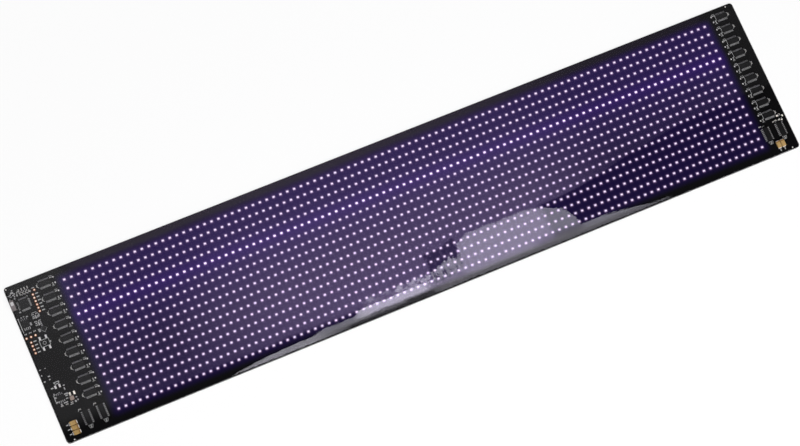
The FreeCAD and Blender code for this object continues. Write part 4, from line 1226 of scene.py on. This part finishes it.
@dataclass
class Studio:
    """Floor, lights, the room that the gloss mirrors, and the camera."""

    camera_place: Vector = field(default_factory=lambda: Vector((-0.43800, -0.39272, 1.97211)))
    camera_right: Vector = field(default_factory=lambda: Vector((0.907927, -0.402273, 0.117662)))
    camera_up: Vector = field(default_factory=lambda: Vector((0.36353, 0.895542, 0.256615)))
    lens: float = 130.185
    sensor: float = 36.0
    card_height: float = 1.0
    floor_size: float = 12.0
    floor_drop: float = 0.2 * MM
    floor_glow: float = 0.86
    lamps: tuple[tuple[str, Colour, float, float], ...] = (
        ("key_lamp", (0.1, -1.25, 0.68), 0.45, 27.0),
        ("back_lamp", (0.1, 1.25, 0.68), 0.45, 2.8),
        ("fill_lamp", (-1.6, -0.6, 1.5), 1.4, 5.0),
    )

    def camera(self) -> None:
        """Put the camera at the photograph's place."""
        data = bpy.data.cameras.new("camera")
        data.lens = self.lens
        data.sensor_width = self.sensor
        camera = bpy.data.objects.new("camera", data)
        back = self.camera_right.cross(self.camera_up)
        turn = Matrix((self.camera_right, self.camera_up, back)).transposed().to_4x4()
        camera.matrix_world = Matrix.Translation(self.camera_place) @ turn
        bpy.context.scene.collection.objects.link(camera)
        bpy.context.scene.camera = camera

    def world(self) -> None:
        """Light the sky evenly, white for the camera and darker overhead for the gloss."""
        made = bpy.data.worlds.new("studio")
        made.use_nodes = True
        bpy.context.scene.world = made
        surface = Surface(made.node_tree)
        direction = surface.add("TexCoord", output="Generated")
        split = surface.add("SeparateXYZ", {0: direction})
        upwards = Plug(surface, split.socket.node.outputs[2])
        ramp = upwards.rise(0.35, 0.85)
        sky = surface.blend((0.5, 0.5, 0.5), (0.02, 0.02, 0.02), ramp)
        path = surface.add("LightPath", output="Is Camera Ray")
        diffuse = Plug(surface, path.socket.node.outputs["Is Diffuse Ray"])
        plain = surface.blend(sky, (0.32, 0.32, 0.33), diffuse)
        colour = surface.blend(plain, (1.0, 1.0, 1.0), path)
        background = surface.add("Background", {"Color": colour, "Strength": 1.0})
        surface.finish(background, "OutputWorld")

    def floor(self) -> None:
        """Lay a plain white floor that keeps a faint shadow."""
        floor = shape("plane", size=self.floor_size, location=(0.0, 0.0, -self.floor_drop))
        floor.name = "floor"
        made, surface = bare_material("floor_white")
        camera = surface.add("LightPath", output="Is Camera Ray")
        matt = surface.add("BsdfDiffuse", {"Color": (0.9, 0.9, 0.9)})
        glow = surface.add("Emission", {"Color": (1.0, 1.0, 1.0)})
        parts = {0: camera * self.floor_glow, 1: matt, 2: glow}
        surface.finish(surface.add("MixShader", parts))
        floor.data.materials.append(made)

    def lamp(self, name: str, place: Vector, size: float, power: float) -> None:
        """Hang one large soft lamp that looks at the sign's middle and isn't mirrored."""
        data = bpy.data.lights.new(name, "AREA")
        data.size, data.energy = size, power
        lamp = bpy.data.objects.new(name, data)
        turn = place.to_track_quat("Z", "Y").to_matrix().to_4x4()
        lamp.matrix_world = Matrix.Translation(place) @ turn
        lamp.visible_glossy = False
        bpy.context.scene.collection.objects.link(lamp)

    def mirrored(self, x: float, y: float) -> Vector:
        """Give the point of the card that mirrors at a point of the face, in millimetres."""
        spot = Vector((x * MM, y * MM, 0.0))
        away = spot - self.camera_place.xy.to_3d()
        return spot + away * self.share + up(self.card_height)

    @property
    def share(self) -> float:
        """Give the card's height as a share of the camera's."""
        return self.card_height / self.camera_place.z

    def card(self) -> None:
        """Hang the bright room that only gloss sees, a window low down and dusk beside it."""
        low, high = self.mirrored(-340.0, -160.0), self.mirrored(340.0, 140.0)
        card = shape("plane", size=1.0, location=(low + high) / 2, rotation=(math.pi, 0.0, 0.0))
        card.scale = (high.x - low.x, high.y - low.y, 1.0)
        settle(card)
        card.name = "reflected_room"
        made, surface = bare_material("reflected_room")
        along, across, _ = surface.axes()
        offset = self.camera_place * (self.share / MM)
        x = (along + offset.x) / (1 + self.share)
        y = (across + offset.y) / (1 + self.share)
        inputs = {"Color": self.room(surface, x, y), "Strength": 1.0}
        surface.finish(surface.add("Emission", inputs))
        card.data.materials.append(made)
        for flag in ("camera", "diffuse", "transmission", "volume_scatter", "shadow"):
            setattr(card, f"visible_{flag}", False)

    @staticmethod
    def room(surface: Surface, x: Plug, y: Plug) -> Plug:
        """Give the room's light where it shows on the sign's face, in millimetres.

        Args:
            surface: The card's surface.
            x: Place along the sign.
            y: Place across it.

        Returns:
            The light's colour.
        """
        # noises: upright streaks, rags, and slow waves for the borders
        fine = surface.streaks(x / 2.2, y / 10.0)
        torn = surface.streaks(x / 7.0, y / 4.5) - 0.5
        wide = surface.noise(170 * MM) - 0.5
        # dusk: the bright half of the room, up to a slanting border on the right
        edge = x.rise(90.0, 240.0) * 19 - 28
        above = (y - edge + wide * 3).rise(-1.0, 1.0)
        dusk = above.math("MAXIMUM", 1 - (x + wide * 6).rise(84.0, 92.0))
        belt = x.rise(-70.0, -50.0).math("MAXIMUM", y.rise(-51.0, -47.0))
        # grey and thin violet light over the ends, the upper margin and the field
        lit = x.rise(-250.0, -232.0) * (1 - x.rise(254.0, 262.0))
        margin = (1 - lit).math("MAXIMUM", y.rise(52.0, 55.0) * 0.42)
        high = y.rise(-54.0, -40.0) * 0.75 + y.rise(-5.0, 55.0) * 0.45
        grey = dusk * high * (1 - x.rise(-240.0, 330.0) * 0.72) * margin * 0.62
        thin = dusk * belt * (1 - x.rise(-60.0, 300.0) * 0.5) * lit * 0.66 * y.rise(-56.5, -53.5)
        # violet haze over the field, with a darker pocket at the window's torn side
        middle = (x + wide * 70).rise(-205.0, -105.0) * (1 - x.rise(75.0, 165.0) * 0.93)
        depth = 1 - (y + wide * 20).rise(-60.0, 62.0) * 0.95
        low_left = (1 - y.rise(-50.0, -15.0)) * (1 - x.rise(-150.0, -40.0)) * 0.42
        pocket = (x + (fine - 0.5) * 9).inside(-4.0, 19.5, 1.2)
        pocket = pocket * (y - x.rise(4.0, 22.0) * 4).inside(-52.0, -31.0, 0.8)
        pocket = pocket * (1 - (fine - 0.5).rise(0.02, 0.16) * 0.45)
        dusk = dusk * y.rise(-56.5, -53.5)
        haze = middle * depth * dusk * belt * lit * (1 - low_left) * (1 - pocket * 0.95) * 2.7
        # window: its upper edge climbs in steps and falls off in a bow on the right
        bow = ((x - 70) / 40).math("MAXIMUM", 0.0).math("MINIMUM", 1.0)
        bow = 1 - (1 - bow * bow).math("SQRT")
        steps = (
            (-185.0, -122.0, 5.0), (-108.0, -90.0, 2.5), (-68.0, -62.0, 3.2), (-36.0, -31.0, 4.8),
            (-4.0, 10.0, 4.5), (19.8, 20.8, 8.5), (21.0, 32.0, 4.0), (112.0, 182.0, -5.5),
        )
        hill = sum((x.rise(low, high) * step for low, high, step in steps), -60.0) - bow * 24.5
        ragged = x.inside(-33.0, 19.0, 3.0)
        frayed = x.inside(-98.0, -66.0, 5.0)
        top = hill + torn * (ragged * 5 + frayed * 5 + 0.8) + (fine - 0.5) * (ragged * 6 + 1)
        window = 1 - (y - top).rise(-0.3, 0.3)
        # thin lines, a blob, specks and upright gaps at the torn side
        lines = surface.streaks(x / 9.0, y / 0.8).rise(0.49, 0.55)
        lines = lines * x.inside(-57.0, -35.0, 3.0) * y.inside(-48.7, -44.6, 0.4) * 0.6
        window = window.math("MAXIMUM", lines)
        blob = (x + torn * 3).inside(-55.0, -50.0, 0.8) * y.inside(-46.9, -44.2, 0.5)
        window = window.math("MAXIMUM", blob * 0.9)
        specks = surface.streaks(x / 4.6, y / 2.4).rise(0.5, 0.53)
        specks = specks * x.inside(-34.0, -5.0, 1.0) * y.inside(-49.0, -44.6, 0.3)
        gaps = surface.streaks(x / 2.6, y / 9.0).rise(0.53, 0.56)
        gaps = gaps * x.inside(-5.0, 21.0, 0.6) * (y + torn * 2).inside(-49.4, -45.6, 0.3)
        window = window * (1 - specks * 0.9) * (1 - gaps * 0.9)
        window = window * x.rise(-205.0, -150.0) * (1 - x.rise(172.0, 182.0))
        # brighter and dimmer parts inside the window
        flare = x.inside(-62.0, -14.0, 8.0) * y.inside(-54.3, -50.0, 1.2) * 1.05
        dim = x.inside(-8.0, 14.0, 6.0) + x.inside(78.0, 108.0, 8.0)
        dim = dim * y.inside(-55.0, -51.0, 1.0) * 0.34
        left = 1 - x.rise(-104.0, -86.0)
        streaked = x.inside(-4.0, 34.0, 6.0) * (fine - 0.5) * 1.2
        streaked = streaked + x.inside(-34.0, 16.0, 3.0) * y.inside(-49.5, -37.0, 1.0) * 0.22
        streaked = streaked + x.inside(-35.0, -6.0, 1.0) * y.inside(-49.5, -43.0, 1.0) * 0.34
        window = window * (0.94 + flare - dim + left * 0.4 + torn * 0.15 + streaked)
        # painted shade in the reflected room light along the sheet's lower edge: a dark rim, and
        # lines shaped like a crease and a dent that the coat's shape doesn't have
        lift = x.inside(-52.0, -6.0, 12.0) * 1.5
        rim = 1 - (y - lift + torn * 1.2).rise(-57.0, -55.5)
        painted_crease_shade = x.inside(-72.0, -14.0, 6.0) * (1 - y.rise(-57.5, -56.7))
        painted_dent_shade = x.inside(-26.0, -10.0, 5.0) * (1 - y.rise(-56.4, -55.6))
        fold = painted_crease_shade.math("MAXIMUM", painted_dent_shade)
        window = window * (1 - rim * x.rise(-96.0, -78.0) * 0.36) * (1 - fold * 0.72)
        return surface.sum(
            surface.tint((0.98, 0.97, 1.0), grey),
            surface.tint((0.71, 0.535, 1.0), haze + thin),
            surface.tint((0.90, 0.87, 1.0), window * 5.4),
        )

    def build(self) -> None:
        """Set up the whole studio."""
        self.camera()
        self.world()
        self.floor()
        for name, place, size, power in self.lamps:
            self.lamp(name, Vector(place), size, power)
        self.card()


def dress_solids(nodes: dict[str, Piece], leds: LedField) -> None:
    """Give the solids that stay their finishes."""
    last = (leds.first.x + (leds.columns - 1) * leds.pitch_x) / MM
    foot = (leds.first.y - (leds.rows - 1) * leds.pitch_y) / MM
    black, worn = (0.0028, 0.0028, 0.003), (0.0052, 0.0052, 0.0054)
    field_place = {"last": (last, foot), "bright_row": leds.bright_row, **leds.grid}
    mask = CircuitMask("circuit_mask", black, worn, 0.48, gloss=0.03, **field_place)
    plain = {
        "back_sheet": Finishes.backing,
        "flex_circuit": mask,
        "inlet_shell": Finishes.steel,
        "inlet_tongue": Finishes.plastic,
        "crystal": Finishes.can,
    }
    for name, finish in plain.items():
        paint(nodes[name], finish)


def main() -> None:
    """Build the sign's looks and the studio round it."""
    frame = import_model()
    nodes = frame["nodes"]
    leds = LedField()
    dress_solids(nodes, leds)
    leds.build()
    Coat().build()
    ChipSet().build()
    SmallParts(nodes).build()
    Pads(nodes).build()
    InletCover().build()
    WoundInductor().build()
    Print(leds.base).build(nodes)
    Studio().build()
    bpy.context.scene.view_settings.view_transform = "Standard"


if __name__ == "__main__":
    main()
